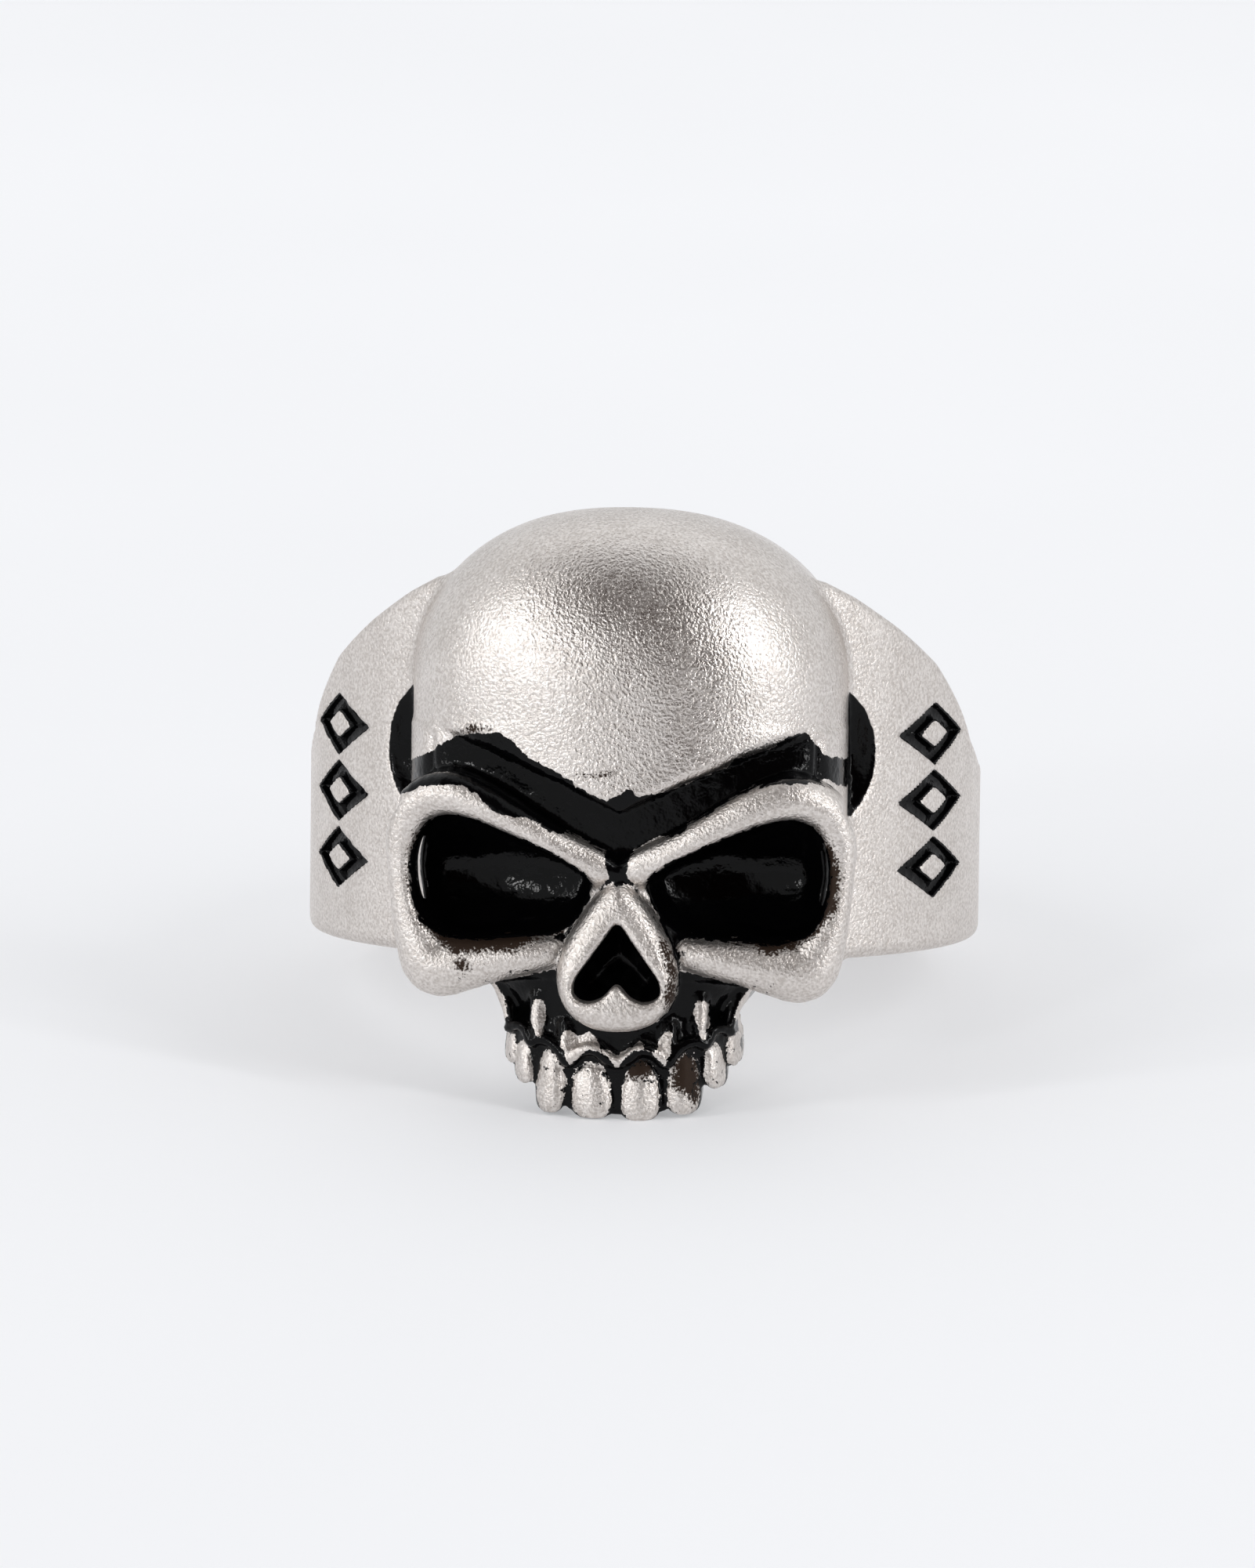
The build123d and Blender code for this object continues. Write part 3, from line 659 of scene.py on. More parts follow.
def net_of(nodes, field):
    """One point in each cell that the surface crosses, and four-sided facets between them"""
    closed = filled_where_torn(field)
    nodes = np.concatenate([nodes, nodes[:1] + np.array([360, 0, 0])])
    shape = np.array(field.shape) - (0, 1, 1)
    total = np.zeros((*shape, 3))
    count = np.zeros(shape)
    for axis in range(3):
        for start in corners:
            if start[axis]:
                continue
            end = tuple(np.array(start) + np.eye(3, dtype=int)[axis])
            near, away = corner_block(closed, start, shape), corner_block(closed, end, shape)
            crossed = (near < 0) != (away < 0)
            share = np.where(crossed, near / np.where(crossed, near - away, 1), 0)[..., None]
            at = (corner_block(nodes, start, shape) * (1 - share)
                  + corner_block(nodes, end, shape) * share)
            total += np.where(crossed[..., None], at, 0)
            count += crossed
    used = count > 0
    number = np.full(shape, -1)
    number[used] = np.arange(used.sum())
    facets = []
    metal = closed[:-1] < 0
    for axis in range(3):
        first, second = (axis + 1) % 3, (axis + 2) % 3
        next_metal = np.roll(metal, -1, axis)
        for leaving in (True, False):
            edges = np.argwhere(metal & ~next_metal if leaving else ~metal & next_metal)
            cells_round = []
            for back_first, back_second in ((0, 0), (1, 0), (1, 1), (0, 1)):
                cells = edges.copy()
                cells[:, first] -= back_first
                cells[:, second] -= back_second
                cells_round.append(number[cells[:, 0] % shape[0], cells[:, 1], cells[:, 2]])
            facets.append(np.stack(cells_round[::-1] if leaving else cells_round, 1))
    return total[used] / count[used][:, None], np.concatenate(facets), np.argwhere(used)


def main_body(points, facets, cells):
    """The largest body of the net, without the small pockets that are closed in the metal"""
    body = np.arange(len(points))
    while True:
        joined = body.copy()
        np.minimum.at(joined, facets, body[facets].min(1)[:, None])
        joined = joined[joined]
        if (joined == body).all():
            break
        body = joined
    kept = body == np.bincount(body).argmax()
    number = np.cumsum(kept) - 1
    return points[kept], number[facets[kept[facets[:, 0]]]], cells[kept]


def settled(points):
    """The points moved onto the surface, each along the form's own slope"""
    most = largest_move * cell
    for step in range(settle_rounds):
        value = ring_at(points)
        slope = np.stack([(ring_at(points + slope_probe * axis) - value) / slope_probe
                          for axis in np.eye(3)], 1)
        push = np.clip(value / np.maximum((slope ** 2).sum(1), least_slope), -most, most)
        points = points - push[:, None] * slope
    return points


def thinned(points, facets, cells):
    """The mesh with rows of the bore's wall and of the shank's outer wall joined, where they
    stand upright and need no detail"""
    out = np.hypot(points[:, 0], points[:, 1])
    turn = np.degrees(np.arctan2(np.abs(points[:, 0]), -points[:, 1]))
    shank_wall = outer_radius - shank_thinning * smooth_step(thinning_start, thinning_end, turn)
    bore = np.abs(out - bore_radius) < upright_near
    upright = bore | ((np.abs(out - shank_wall) < upright_near) & (turn > shank_start))
    joined = upright.copy()
    joined[facets[~upright[facets].all(1)]] = False
    first = {}
    stand_in = np.arange(len(points))
    for index in np.flatnonzero(joined):
        place = (cells[index, 0], bore[index], cells[index, 2] // rows_joined)
        stand_in[index] = first.setdefault(place, index)
    kept = np.unique(stand_in)
    number = np.full(len(points), -1)
    number[kept] = np.arange(len(kept))
    left = []
    for facet in number[stand_in[facets]].tolist():
        facet = [corner for corner, after in zip(facet, facet[1:] + facet[:1]) if corner != after]
        if len(facet) > 2:
            left.append(facet)
    return points[kept], left


def ring_mesh(name, lay):
    """The ring as one closed mesh, laid down, with its points in the ring's own frame"""
    nodes = grid_nodes()
    places, facets, cells = main_body(*net_of(nodes, ring_at(to_xyz(nodes))))
    points, facets = thinned(settled(to_xyz(places)), facets, cells)
    mesh = bpy.data.meshes.new(name)
    laid = np.array(lay, float)
    mesh.from_pydata(points @ laid[:3, :3].T + laid[:3, 3], [], facets)
    mesh.polygons.foreach_set("use_smooth", np.ones(len(facets), bool))
    mesh.update()
    piece = bpy.data.objects.new(name, mesh)
    bpy.context.scene.collection.objects.link(piece)
    return piece, points


# Places of the finishes on the face, as across and up columns. They are worked with a brush by
# hand on such a ring, so the two sides differ a little.
BROW_BLACK = [
    (-1.1, 0.5), (-1.1, 0.56), (-0.944, 0.573), (-0.812, 0.602), (-0.709, 0.625),
    (-0.605, 0.636), (-0.508, 0.634), (-0.46, 0.621), (-0.399, 0.599), (-0.318, 0.585),
    (-0.251, 0.573), (-0.191, 0.554), (-0.105, 0.536), (-0.049, 0.53), (-0.006, 0.541),
    (0.03, 0.549), (0.046, 0.548), (0.082, 0.536), (0.144, 0.542), (0.227, 0.547), (0.306, 0.56),
    (0.384, 0.573), (0.446, 0.581), (0.477, 0.597), (0.566, 0.606), (0.646, 0.616), (0.697, 0.634),
    (0.773, 0.641), (0.818, 0.62), (0.858, 0.599), (0.96, 0.585), (1.1, 0.56), (1.1, 0.5),
    (0.95, 0.54), (0.86, 0.56), (0.773, 0.563), (0.695, 0.563), (0.629, 0.559), (0.563, 0.552),
    (0.498, 0.54), (0.433, 0.524), (0.382, 0.51), (0.294, 0.492), (0.264, 0.476), (0.212, 0.472),
    (0.162, 0.47), (0.122, 0.462), (0.083, 0.452), (0.053, 0.441), (0.04, 0.43), (0.038, 0.4),
    (0.002, 0.389), (-0.03, 0.396), (-0.048, 0.415), (-0.062, 0.444), (-0.098, 0.451),
    (-0.146, 0.461), (-0.188, 0.468), (-0.221, 0.475), (-0.26, 0.474), (-0.305, 0.481),
    (-0.338, 0.491), (-0.391, 0.503), (-0.43, 0.5), (-0.495, 0.506), (-0.555, 0.515),
    (-0.603, 0.538), (-0.657, 0.549), (-0.737, 0.553), (-0.818, 0.549), (-0.901, 0.539),
]
# Brown stain left round the sockets
STAIN_LEFT = [
    (-0.6, 0.43), (-0.862, 0.474), (-0.895, 0.438), (-0.898, 0.397), (-0.874, 0.356),
    (-0.839, 0.321), (-0.767, 0.29), (-0.681, 0.273), (-0.561, 0.281), (-0.44, 0.28),
    (-0.377, 0.295), (-0.308, 0.304), (-0.229, 0.31), (-0.3, 0.36),
]
STAIN_RIGHT = [
    (0.6, 0.43), (0.839, 0.485), (0.913, 0.45), (0.937, 0.41), (0.925, 0.359), (0.845, 0.318),
    (0.748, 0.291), (0.651, 0.28), (0.556, 0.294), (0.475, 0.301), (0.38, 0.306), (0.301, 0.31),
    (0.225, 0.32), (0.3, 0.36),
]
# Black below and between the cheeks, before what is wiped clean in it
JAW_BLACK = [
    (-0.64, 0.246), (-0.573, 0.238), (-0.493, 0.244), (-0.428, 0.248), (-0.298, 0.252),
    (-0.309, 0.282), (-0.306, 0.303), (-0.229, 0.312), (-0.16, 0.332), (-0.095, 0.365),
    (-0.06, 0.398), (0.06, 0.398), (0.105, 0.365), (0.165, 0.335), (0.24, 0.318), (0.29, 0.308),
    (0.31, 0.286), (0.324, 0.26), (0.429, 0.253), (0.561, 0.242), (0.627, 0.236), (0.69, 0.235),
    (0.7, 0.06), (0.56, -0.06), (-0.56, -0.06), (-0.7, 0.06), (-0.7, 0.24),
]
# Gum wiped clean over the front teeth
GUM_SILVER = [
    (-0.241, 0.148), (-0.202, 0.154), (-0.169, 0.142), (-0.118, 0.148), (-0.083, 0.139),
    (-0.064, 0.124), (-0.031, 0.12), (0, 0.111), (0.02, 0.117), (0.096, 0.136),
    (0.133, 0.123), (0.167, 0.121), (0.181, 0.144), (0.224, 0.153), (0.241, 0.148), (0.234, 0.116),
    (0.214, 0.097), (0.201, 0.093), (0.167, 0.109), (0.116, 0.12), (0.083, 0.118), (0.04, 0.107),
    (0.015, 0.094), (-0.002, 0.091), (-0.019, 0.099), (-0.062, 0.113), (-0.113, 0.119),
    (-0.156, 0.109), (-0.182, 0.098), (-0.203, 0.092), (-0.225, 0.104), (-0.239, 0.125),
]
RIDGE_LEFT = [
    (-0.366, 0.199), (-0.31, 0.197), (-0.306, 0.171), (-0.331, 0.137), (-0.347, 0.136), (-0.372, 0.164),
]
RIDGE_RIGHT = [
    (0.321, 0.199), (0.381, 0.2), (0.386, 0.17), (0.375, 0.138), (0.349, 0.14), (0.328, 0.172),
]
OUTER_LEFT = [(-0.56, 0.226), (-0.5, 0.2), (-0.478, 0.164), (-0.498, 0.158), (-0.528, 0.188)]
OUTER_RIGHT = [(0.575, 0.226), (0.51, 0.2), (0.488, 0.166), (0.508, 0.16), (0.54, 0.19)]
# Smaller brown stains: on two teeth, beside the nose, under a cheek and over the brow
STAINS = [
    [(0.03, 0.085), (0.06, 0.11), (0.15, 0.112), (0.16, 0.078), (0.09, 0.07), (0.045, 0.068)],
    [(0.225, 0.06), (0.24, 0.1), (0.3, 0.125), (0.35, 0.1), (0.362, 0.04), (0.33, 0.022),
     (0.3, 0.045), (0.262, 0.052)],
    [(0.17, 0.312), (0.215, 0.3), (0.262, 0.262), (0.258, 0.205), (0.215, 0.188), (0.205, 0.215),
     (0.222, 0.245), (0.195, 0.28)],
    [(-0.69, 0.262), (-0.655, 0.268), (-0.625, 0.252), (-0.65, 0.242), (-0.682, 0.246)],
    [(-0.735, 0.628), (-0.64, 0.646), (-0.56, 0.64), (-0.64, 0.63)],
    [(-0.19, 0.571), (-0.1, 0.569), (-0.01, 0.578), (-0.1, 0.572)],
]
# Reach of the finishes, in millimetres. The black goes this far past the edges of the hollows.
edge_width = 0.05
socket_edge = 0.08
# How far from a socket's own surface its black reaches
socket_black = 0.7
# How far the edge of the silver on the gum is worn back
gum_worn = 0.04
# The black between the teeth: how far behind their front it starts, and where it ends
gap_black = 0.26
gap_top_up = 0.13
gap_half = 0.52
palate_behind = 0.4
# Where the brow's black ends, and how deep in the nose its black starts
brow_black_half = 0.97
nose_black_front, nose_black_depth = 0.02, 0.25
# The bore's wall and this much of the metal round it stay clean
bore_clean = 0.3
# The black's edge is this much smoother on the band than on the face
band_smoother = 0.85
# The two stains beside the nose reach this far past their outlines, and all end this far back
stain_edge = 0.05
stain_back = 0.55
# The polish starts over the brow groove and ends at the cranium's own surface
polish_fade = 0.8
polish_near, polish_far = 0.1, 0.5


def inside(x, z, rows):
    """How far a point is inside an outline given as across and up columns"""
    return -outline_distance(x, z, outline(rows))


def inside_curve(x, z, points):
    """How far a point is inside the curve through points in millimetres"""
    return -outline_distance(x, z, curve_through(points, outline_steps, True))


def jaw_black(x, y, z):
    """Black on the jaw and between the teeth, but not on what is wiped clean"""
    clean = np.maximum.reduce([
        inside_curve(x, z, mirrored(outline(NOSE))), edge_width - within(JAW_BOX, teeth, x, y, z),
        inside(x, z, GUM_SILVER) - gum_worn, inside(x, z, RIDGE_LEFT), inside(x, z, RIDGE_RIGHT),
        inside(x, z, OUTER_LEFT), inside(x, z, OUTER_RIGHT),
        edge_width - within(RIM_BOX, eye_rim, x, y, z)])
    front = tooth_front(x)
    palate = front + tooth_thickness + palate_behind - y
    jaws = np.minimum.reduce([inside(x, z, JAW_BLACK), -clean, palate])
    gaps = np.minimum.reduce([y - front - gap_black, height(gap_top_up) - z, palate,
                              gap_half * half_width - np.abs(x)])
    return np.maximum(jaws, gaps)


def black_finish(points):
    """How far each point is inside the black finish, in millimetres"""
    x, y, z = points.T
    socket = inside_curve(np.abs(x), z, outline(EYE_SOCKET)) + socket_edge
    socket = np.minimum(socket, socket_black - sockets(x, y, z))
    brow = np.minimum(inside(x, z, BROW_BLACK), brow_black_half * half_width - np.abs(x))
    hollow = inside_curve(x, z, mirrored(outline(NOSE_HOLLOW))) + edge_width
    hollow = np.minimum(hollow, y - front_plane(nose_black_front) - nose_black_depth)
    face = np.maximum.reduce([socket, brow, hollow, jaw_black(x, y, z)])
    face = np.minimum(face, front_plane(head_back) - y)
    out = np.hypot(x, y)
    shoulder = edge_width - np.minimum(recess(x, y, z), engraving(x, y, z))
    shoulder = np.minimum(shoulder, outer_radius + edge_width - out)
    return np.minimum(np.maximum(face, shoulder), out - bore_radius - bore_clean)


def raggedness(points):
    """How ragged the finish's edge is: 1 on the face, less in the recesses and the engraving"""
    out = np.hypot(points[:, 0], points[:, 1])
    return 1 - band_smoother * smooth_step(-outer_radius - bore_clean, -outer_radius, -out)


def polish(points):
    """How polished the silver is: 1 on the cranium over the brow, 0 on the satin elsewhere"""
    x, y, z = points.T
    brow_line = height(read(BROW_GROOVE, np.abs(x) / half_width))
    off_cranium = smooth_step(polish_near, polish_far, cranium(x, y, z))
    return smooth_step(0.0, polish_fade, z - brow_line) * (1 - off_cranium)


def brown_stain(points):
    """How far each point is inside the brown stain, in millimetres"""
    x, y, z = points.T
    stain = np.maximum(inside(x, z, STAIN_LEFT), inside(x, z, STAIN_RIGHT)) + stain_edge
    stain = np.maximum.reduce([stain] + [inside(x, z, rows) for rows in STAINS])
    return np.minimum(stain, front_plane(stain_back) - y)


def add_attribute(piece, name, values):
    attribute = piece.data.attributes.new(name, "FLOAT", "POINT")
    attribute.data.foreach_set("value", np.asarray(values, np.float32))


class Nodes:
    """A material's nodes: each call adds one and links what feeds it"""

    def __init__(self, name):
        self.material = bpy.data.materials.new(name)
        self.material.use_nodes = True
        self.tree = self.material.node_tree
        self.shader = self.tree.nodes["Principled BSDF"]

    def feed(self, socket, value):
        if isinstance(value, bpy.types.NodeSocket):
            self.tree.links.new(value, socket)
        else:
            socket.default_value = value

    def attribute(self, name):
        node = self.tree.nodes.new("ShaderNodeAttribute")
        node.attribute_name = name
        return node.outputs["Fac"]

    def place(self):
        return self.tree.nodes.new("ShaderNodeTexCoord").outputs["Object"]

    def noise(self, size, detail):
        """Noise from 0 to 1 whose features have a size in millimetres"""
        node = self.tree.nodes.new("ShaderNodeTexNoise")
        self.feed(node.inputs["Vector"], self.place())
        node.inputs["Scale"].default_value = 1 / (size * MM)
        node.inputs["Detail"].default_value = detail
        return node.outputs["Fac"]

    def math(self, operation, a, b):
        node = self.tree.nodes.new("ShaderNodeMath")
        node.operation = operation
        self.feed(node.inputs[0], a)
        self.feed(node.inputs[1], b)
        return node.outputs[0]

    def ramp(self, value, low, high, start=0.0, end=1.0):
        node = self.tree.nodes.new("ShaderNodeMapRange")
        self.feed(node.inputs["Value"], value)
        for socket, number in zip(("From Min", "From Max", "To Min", "To Max"), (low, high, start, end)):
            self.feed(node.inputs[socket], number)
        return node.outputs["Result"]

    def mix(self, share, a, b):
        node = self.tree.nodes.new("ShaderNodeMix")
        node.data_type = "RGBA"
        self.feed(node.inputs["Factor"], share)
        self.feed(node.inputs["A"], a)
        self.feed(node.inputs["B"], b)
        return node.outputs["Result"]

    def blend(self, share, a, b):
        """a where the share is 0 and b where it is 1"""
        return self.math("ADD", self.math("MULTIPLY", a, self.math("SUBTRACT", 1.0, share)),
                         self.math("MULTIPLY", b, share))

    def bump(self, height_value, distance, strength, under=None):
        node = self.tree.nodes.new("ShaderNodeBump")
        node.inputs["Distance"].default_value = distance * MM
        node.inputs["Strength"].default_value = strength
        self.feed(node.inputs["Height"], height_value)
        if under is not None:
            self.feed(node.inputs["Normal"], under)
        return node.outputs["Normal"]


SILVER_COLOUR = (0.780, 0.735, 0.700, 1)
SILVER_DARK = (0.560, 0.515, 0.480, 1)
BROWN_COLOUR = (0.030, 0.018, 0.012, 1)
BLACK_COLOUR = (0.0015, 0.0015, 0.0018, 1)
FLOOR_COLOUR = (0.615, 0.62, 0.635, 1)
FLOOR_LIGHTER = (0.64, 0.645, 0.66, 1)
# Colour of the floor's painted light, an emission that lightens the ring's shadow
FLOOR_PAINTED_LIGHT = (0.97, 0.98, 1.0, 1)

# Side of the square floor, in metres
floor_size = 3.0

# Sizes of the patterns in the finishes, in millimetres
grain_size = 0.105
cloud_size = 1.6
satin_size = 0.5
edge_wave_size, edge_crumb_size = 0.35, 0.07
speckle_size = 0.09
ripple_size, small_ripple_size = 1.1, 0.35
paper_cloud_size, paper_grain_size = 60.0, 0.6
# How far these patterns move a finish's edge, in millimetres
edge_wave, edge_crumb, speckle_reach = 0.30, 0.10, 0.9
black_fade = 0.008
brown_fade_low, brown_fade_high = -0.04, 0.10
# Most of a noise lies between these values
noise_low, noise_high = 0.35, 0.65
wide_low, wide_high = 0.3, 0.7
# Shares of the darker silver at the grain's lows and highs, and what the clouds add
grain_dark, grain_light, cloud_dark = 0.85, -0.15, 0.3
cloud_high = 0.70
# Roughness
satin_finest, satin_coarsest = 0.36, 0.44
polish_gain = 0.11
brown_rough, black_rough = 0.55, 0.11
paper_rough = 0.75
# Share of the metal that the brown stain covers, and of the grain that shows no more under a finish
brown_cover = 0.7
grain_filled = 0.85
black_specular = 0.14
# Heights in millimetres and strengths of the bumps
ripple_rise, ripple_strength, small_ripple = 0.20, 0.45, 0.35
grain_rise, grain_strength = 0.052, 0.8
paper_rise, paper_strength = 0.02, 0.2
# Painted light on the floor: its emission under the ring and behind it, which lightens the ring's shadow
# and brightens the floor towards the back, and the distance in metres over which it grows
painted_light_near, painted_light_far, painted_light_reach = 0.32, 0.38, 0.14


def ragged_edge(m):
    """What the finishes' edges are moved by"""
    waves = m.math("MULTIPLY", m.math("SUBTRACT", m.noise(edge_wave_size, 3.0), 0.5), edge_wave)
    crumbs = m.math("MULTIPLY", m.math("SUBTRACT", m.noise(edge_crumb_size, 2.0), 0.5), edge_crumb)
    return m.math("MULTIPLY", m.math("ADD", waves, crumbs), m.attribute("ragged"))


def silver_tone(m, grain):
    """The silver's colour, darker in clouds and at the grain's lows"""
    clouds = m.math("MULTIPLY", m.ramp(m.noise(cloud_size, 3.0), noise_low, cloud_high), cloud_dark)
    tone = m.math("ADD", clouds, m.ramp(grain, noise_low, noise_high, grain_dark, grain_light))
    return m.mix(tone, SILVER_COLOUR, SILVER_DARK)


def ring_material():
    """Satin silver, glossy black in the hollows and speckled brown stain at their edges"""
    m = Nodes("silver_and_black")
    ragged = ragged_edge(m)
    black = m.ramp(m.math("ADD", m.attribute("black"), ragged), -black_fade, black_fade)
    speckle = m.math("MULTIPLY", m.math("SUBTRACT", m.noise(speckle_size, 3.0), 0.5), speckle_reach)
    stain = m.math("ADD", m.attribute("brown"), m.math("ADD", ragged, speckle))
    brown = m.ramp(stain, brown_fade_low, brown_fade_high)
    grain = m.noise(grain_size, 2.0)
    stained = m.mix(brown, silver_tone(m, grain), BROWN_COLOUR)
    m.feed(m.shader.inputs["Base Color"], m.mix(black, stained, BLACK_COLOUR))
    covered = m.math("MAXIMUM", black, m.math("MULTIPLY", brown, brown_cover))
    m.feed(m.shader.inputs["Metallic"], m.math("SUBTRACT", 1.0, covered))
    satin = m.ramp(m.noise(satin_size, 3.0), wide_low, wide_high, satin_finest, satin_coarsest)
    silver_rough = m.math("SUBTRACT", satin, m.math("MULTIPLY", m.attribute("polish"), polish_gain))
    rough = m.blend(black, m.blend(brown, silver_rough, brown_rough), black_rough)
    m.feed(m.shader.inputs["Roughness"], rough)
    ripple = m.math("MULTIPLY", m.noise(small_ripple_size, 2.0), small_ripple)
    ripple = m.math("ADD", m.noise(ripple_size, 1.0), ripple)
    waves = m.bump(m.math("MULTIPLY", ripple, black), ripple_rise, ripple_strength)
    filled = m.math("MULTIPLY", m.math("MAXIMUM", black, brown), grain_filled)
    fine = m.math("MULTIPLY", grain, m.math("SUBTRACT", 1.0, filled))
    m.feed(m.shader.inputs["Normal"], m.bump(fine, grain_rise, grain_strength, waves))
    m.shader.inputs["Specular IOR Level"].default_value = black_specular
    return m.material


def floor_material():
    """Pale paper with painted light: an emission that lightens the ring's shadow on it, stronger behind
    the ring
    """
    m = Nodes("pale_paper_painted_light")
    tone = m.ramp(m.noise(paper_cloud_size, 2.0), wide_low, wide_high)
    m.feed(m.shader.inputs["Base Color"], m.mix(tone, FLOOR_COLOUR, FLOOR_LIGHTER))
    m.shader.inputs["Roughness"].default_value = paper_rough
    m.shader.inputs["Emission Color"].default_value = FLOOR_PAINTED_LIGHT
    split = m.tree.nodes.new("ShaderNodeSeparateXYZ")
    m.feed(split.inputs[0], m.place())
    # Painted light: emission that lifts the shadow under the ring, growing towards the back
    floor_painted_light = m.ramp(split.outputs["Y"], 0.0, painted_light_reach, painted_light_near, painted_light_far)
    m.feed(m.shader.inputs["Emission Strength"], floor_painted_light)
    m.feed(m.shader.inputs["Normal"], m.bump(m.noise(paper_grain_size, 3.0), paper_rise, paper_strength))
    return m.material


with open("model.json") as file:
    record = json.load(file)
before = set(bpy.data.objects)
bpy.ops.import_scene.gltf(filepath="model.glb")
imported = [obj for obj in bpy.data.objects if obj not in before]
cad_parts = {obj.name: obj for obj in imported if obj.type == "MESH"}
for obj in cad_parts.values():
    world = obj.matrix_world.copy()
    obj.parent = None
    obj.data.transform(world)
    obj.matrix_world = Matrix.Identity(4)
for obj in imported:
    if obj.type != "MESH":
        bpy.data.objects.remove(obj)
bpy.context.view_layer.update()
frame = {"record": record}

# The ring's own frame lies on the bore's axis, this far below the mount's place on it
mount_rise = 7.57
bore_mount = frame["record"]["mounts"][0]
bore_axis = Vector(bore_mount["axis"]).normalized()
lay = (Matrix.Translation(Vector(bore_mount["pos_m"]) - bore_axis * mount_rise * MM)
       @ Vector((0, 0, 1)).rotation_difference(bore_axis).to_matrix().to_4x4()
       @ Matrix.Scale(MM, 4))

skull_ring, ring_points = ring_mesh("skull_ring", lay)
for name, worked_out in (("black", black_finish), ("brown", brown_stain),
                         ("ragged", raggedness), ("polish", polish)):
    add_attribute(skull_ring, name, worked_out(ring_points))
skull_ring.data.materials.append(ring_material())
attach(skull_ring, "root")
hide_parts("ring_body")

floor_mesh = bpy.data.meshes.new("floor")
half_floor = floor_size / 2
floor_corners = [(-half_floor, -half_floor, 0), (half_floor, -half_floor, 0),
                 (half_floor, half_floor, 0), (-half_floor, half_floor, 0)]
floor_mesh.from_pydata(floor_corners, [], [(0, 1, 2, 3)])
floor = bpy.data.objects.new("floor", floor_mesh)
floor.data.materials.append(floor_material())
bpy.context.scene.collection.objects.link(floor)


def look_from(obj, azimuth, elevation, distance, target):
    """Puts a camera or light at an angle round the target and turns it to it; azimuth 0 is in front"""
    a, e = math.radians(azimuth), math.radians(elevation)
    back = Vector((math.sin(a) * math.cos(e), -math.cos(a) * math.cos(e), math.sin(e)))
    obj.location = Vector(target) + back * distance
    obj.rotation_mode = "QUATERNION"
    obj.rotation_quaternion = (-back).to_track_quat("-Z", "Y")


# What the lights are aimed at, in metres: about the middle of the ring
lights_target = (0, 0, 0.008)


def area_light(name, azimuth, elevation, distance, size, power):
    light = bpy.data.lights.new(name, "AREA")
    light.shape = "RECTANGLE"
    light.size, light.size_y = size
    light.energy = power
    obj = bpy.data.objects.new(name, light)
    bpy.context.scene.collection.objects.link(obj)
    look_from(obj, azimuth, elevation, distance, lights_target)


# Lights: name, azimuth and elevation in degrees, distance and sizes in metres, power in watts
LIGHTS = [
    ("light_left", -64, 32, 0.60, (0.05, 0.50), 0.66),
    ("light_right", 60, 28, 0.60, (0.05, 0.50), 1.05),
    ("light_top", 180, 55, 0.80, (0.90, 0.30), 0.25),
    ("light_front", -31, 22, 0.80, (0.07, 0.09), 0.55),
]
for name, azimuth, elevation, distance, size, power in LIGHTS:
    area_light(name, azimuth, elevation, distance, size, power)

# Surroundings: the dark in front, with the cosines of the angles from it at which it is darkest
# and ends, and the gap in the tent, with the same for the angle from the gap's plane
DARK_DIRECTION = Vector((0.20, -0.74, 0.64)).normalized()
DARK_HEART, DARK_EDGE = 0.72, 0.34
# Square to that plane, which leans to the right as it comes down
DARK_SIDE = Vector((0.785, 0.547, 0.293)).normalized()
GAP_HEART, GAP_EDGE = 0.22, 0.50
WORLD_IN_FRONT = (0.03, 0.012, 0.006, 1)
WORLD_AROUND = (0.83, 0.84, 0.855, 1)


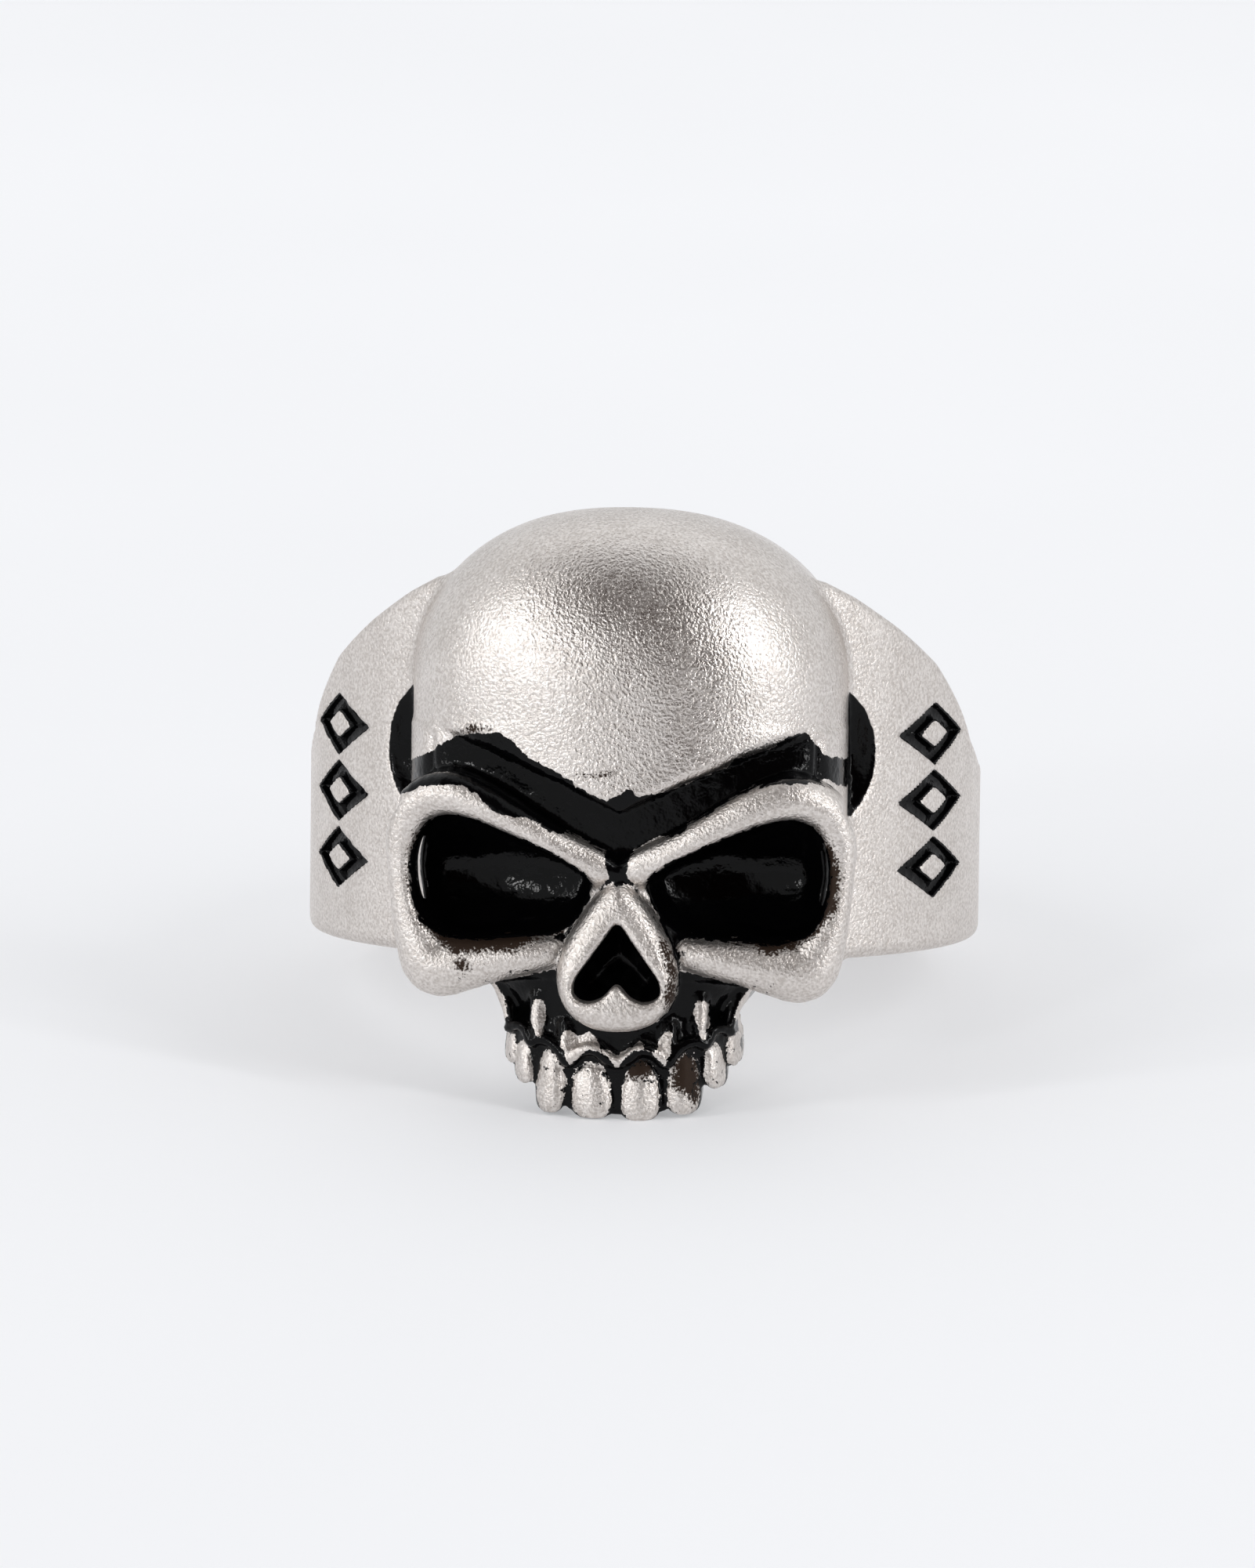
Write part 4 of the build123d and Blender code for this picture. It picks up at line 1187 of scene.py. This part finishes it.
def studio_world():
    """White tent round the ring, with a dark upright gap in front where the camera stands"""
    world = bpy.data.worlds.new("studio")
    world.use_nodes = True
    nodes, links = world.node_tree.nodes, world.node_tree.links
    place = nodes.new("ShaderNodeTexCoord").outputs["Generated"]

    def nearness(direction):
        product = nodes.new("ShaderNodeVectorMath")
        product.operation = "DOT_PRODUCT"
        links.new(place, product.inputs[0])
        product.inputs[1].default_value = direction
        return product.outputs["Value"]

    def either_way(value):
        size = nodes.new("ShaderNodeMath")
        size.operation = "ABSOLUTE"
        links.new(value, size.inputs[0])
        return size.outputs[0]

    def lit(value, heart, edge):
        shade = nodes.new("ShaderNodeMapRange")
        shade.interpolation_type = "SMOOTHSTEP"
        shade.inputs["From Min"].default_value = heart
        shade.inputs["From Max"].default_value = edge
        links.new(value, shade.inputs["Value"])
        return shade.outputs["Result"]

    brightest = nodes.new("ShaderNodeMath")
    brightest.operation = "MAXIMUM"
    links.new(lit(nearness(DARK_DIRECTION), DARK_HEART, DARK_EDGE), brightest.inputs[0])
    links.new(lit(either_way(nearness(DARK_SIDE)), GAP_HEART, GAP_EDGE), brightest.inputs[1])
    colour = nodes.new("ShaderNodeMix")
    colour.data_type = "RGBA"
    links.new(brightest.outputs[0], colour.inputs["Factor"])
    colour.inputs["A"].default_value = WORLD_IN_FRONT
    colour.inputs["B"].default_value = WORLD_AROUND
    links.new(colour.outputs["Result"], nodes["Background"].inputs["Color"])
    return world


bpy.context.scene.world = studio_world()
bpy.context.scene.view_settings.view_transform = "Standard"

# Camera: fitted to the photograph, with the longer side of its frame as the sensor's width.
# Angles in degrees, distances in metres, focal length in the photograph's pixels
camera_azimuth, camera_elevation = 3.6, 15.8
camera_distance = 0.270
camera_target = (-0.00057, 0.001515, 0.007615)
photo_long_side = 2001
focal_pixels = 9647
camera_data = bpy.data.cameras.new("camera")
camera_data.sensor_width = 36
camera_data.lens = camera_data.sensor_width * focal_pixels / photo_long_side
camera_data.clip_start, camera_data.clip_end = 0.01, 20
camera = bpy.data.objects.new("camera", camera_data)
bpy.context.scene.collection.objects.link(camera)
look_from(camera, camera_azimuth, camera_elevation, camera_distance, camera_target)
bpy.context.scene.camera = camera
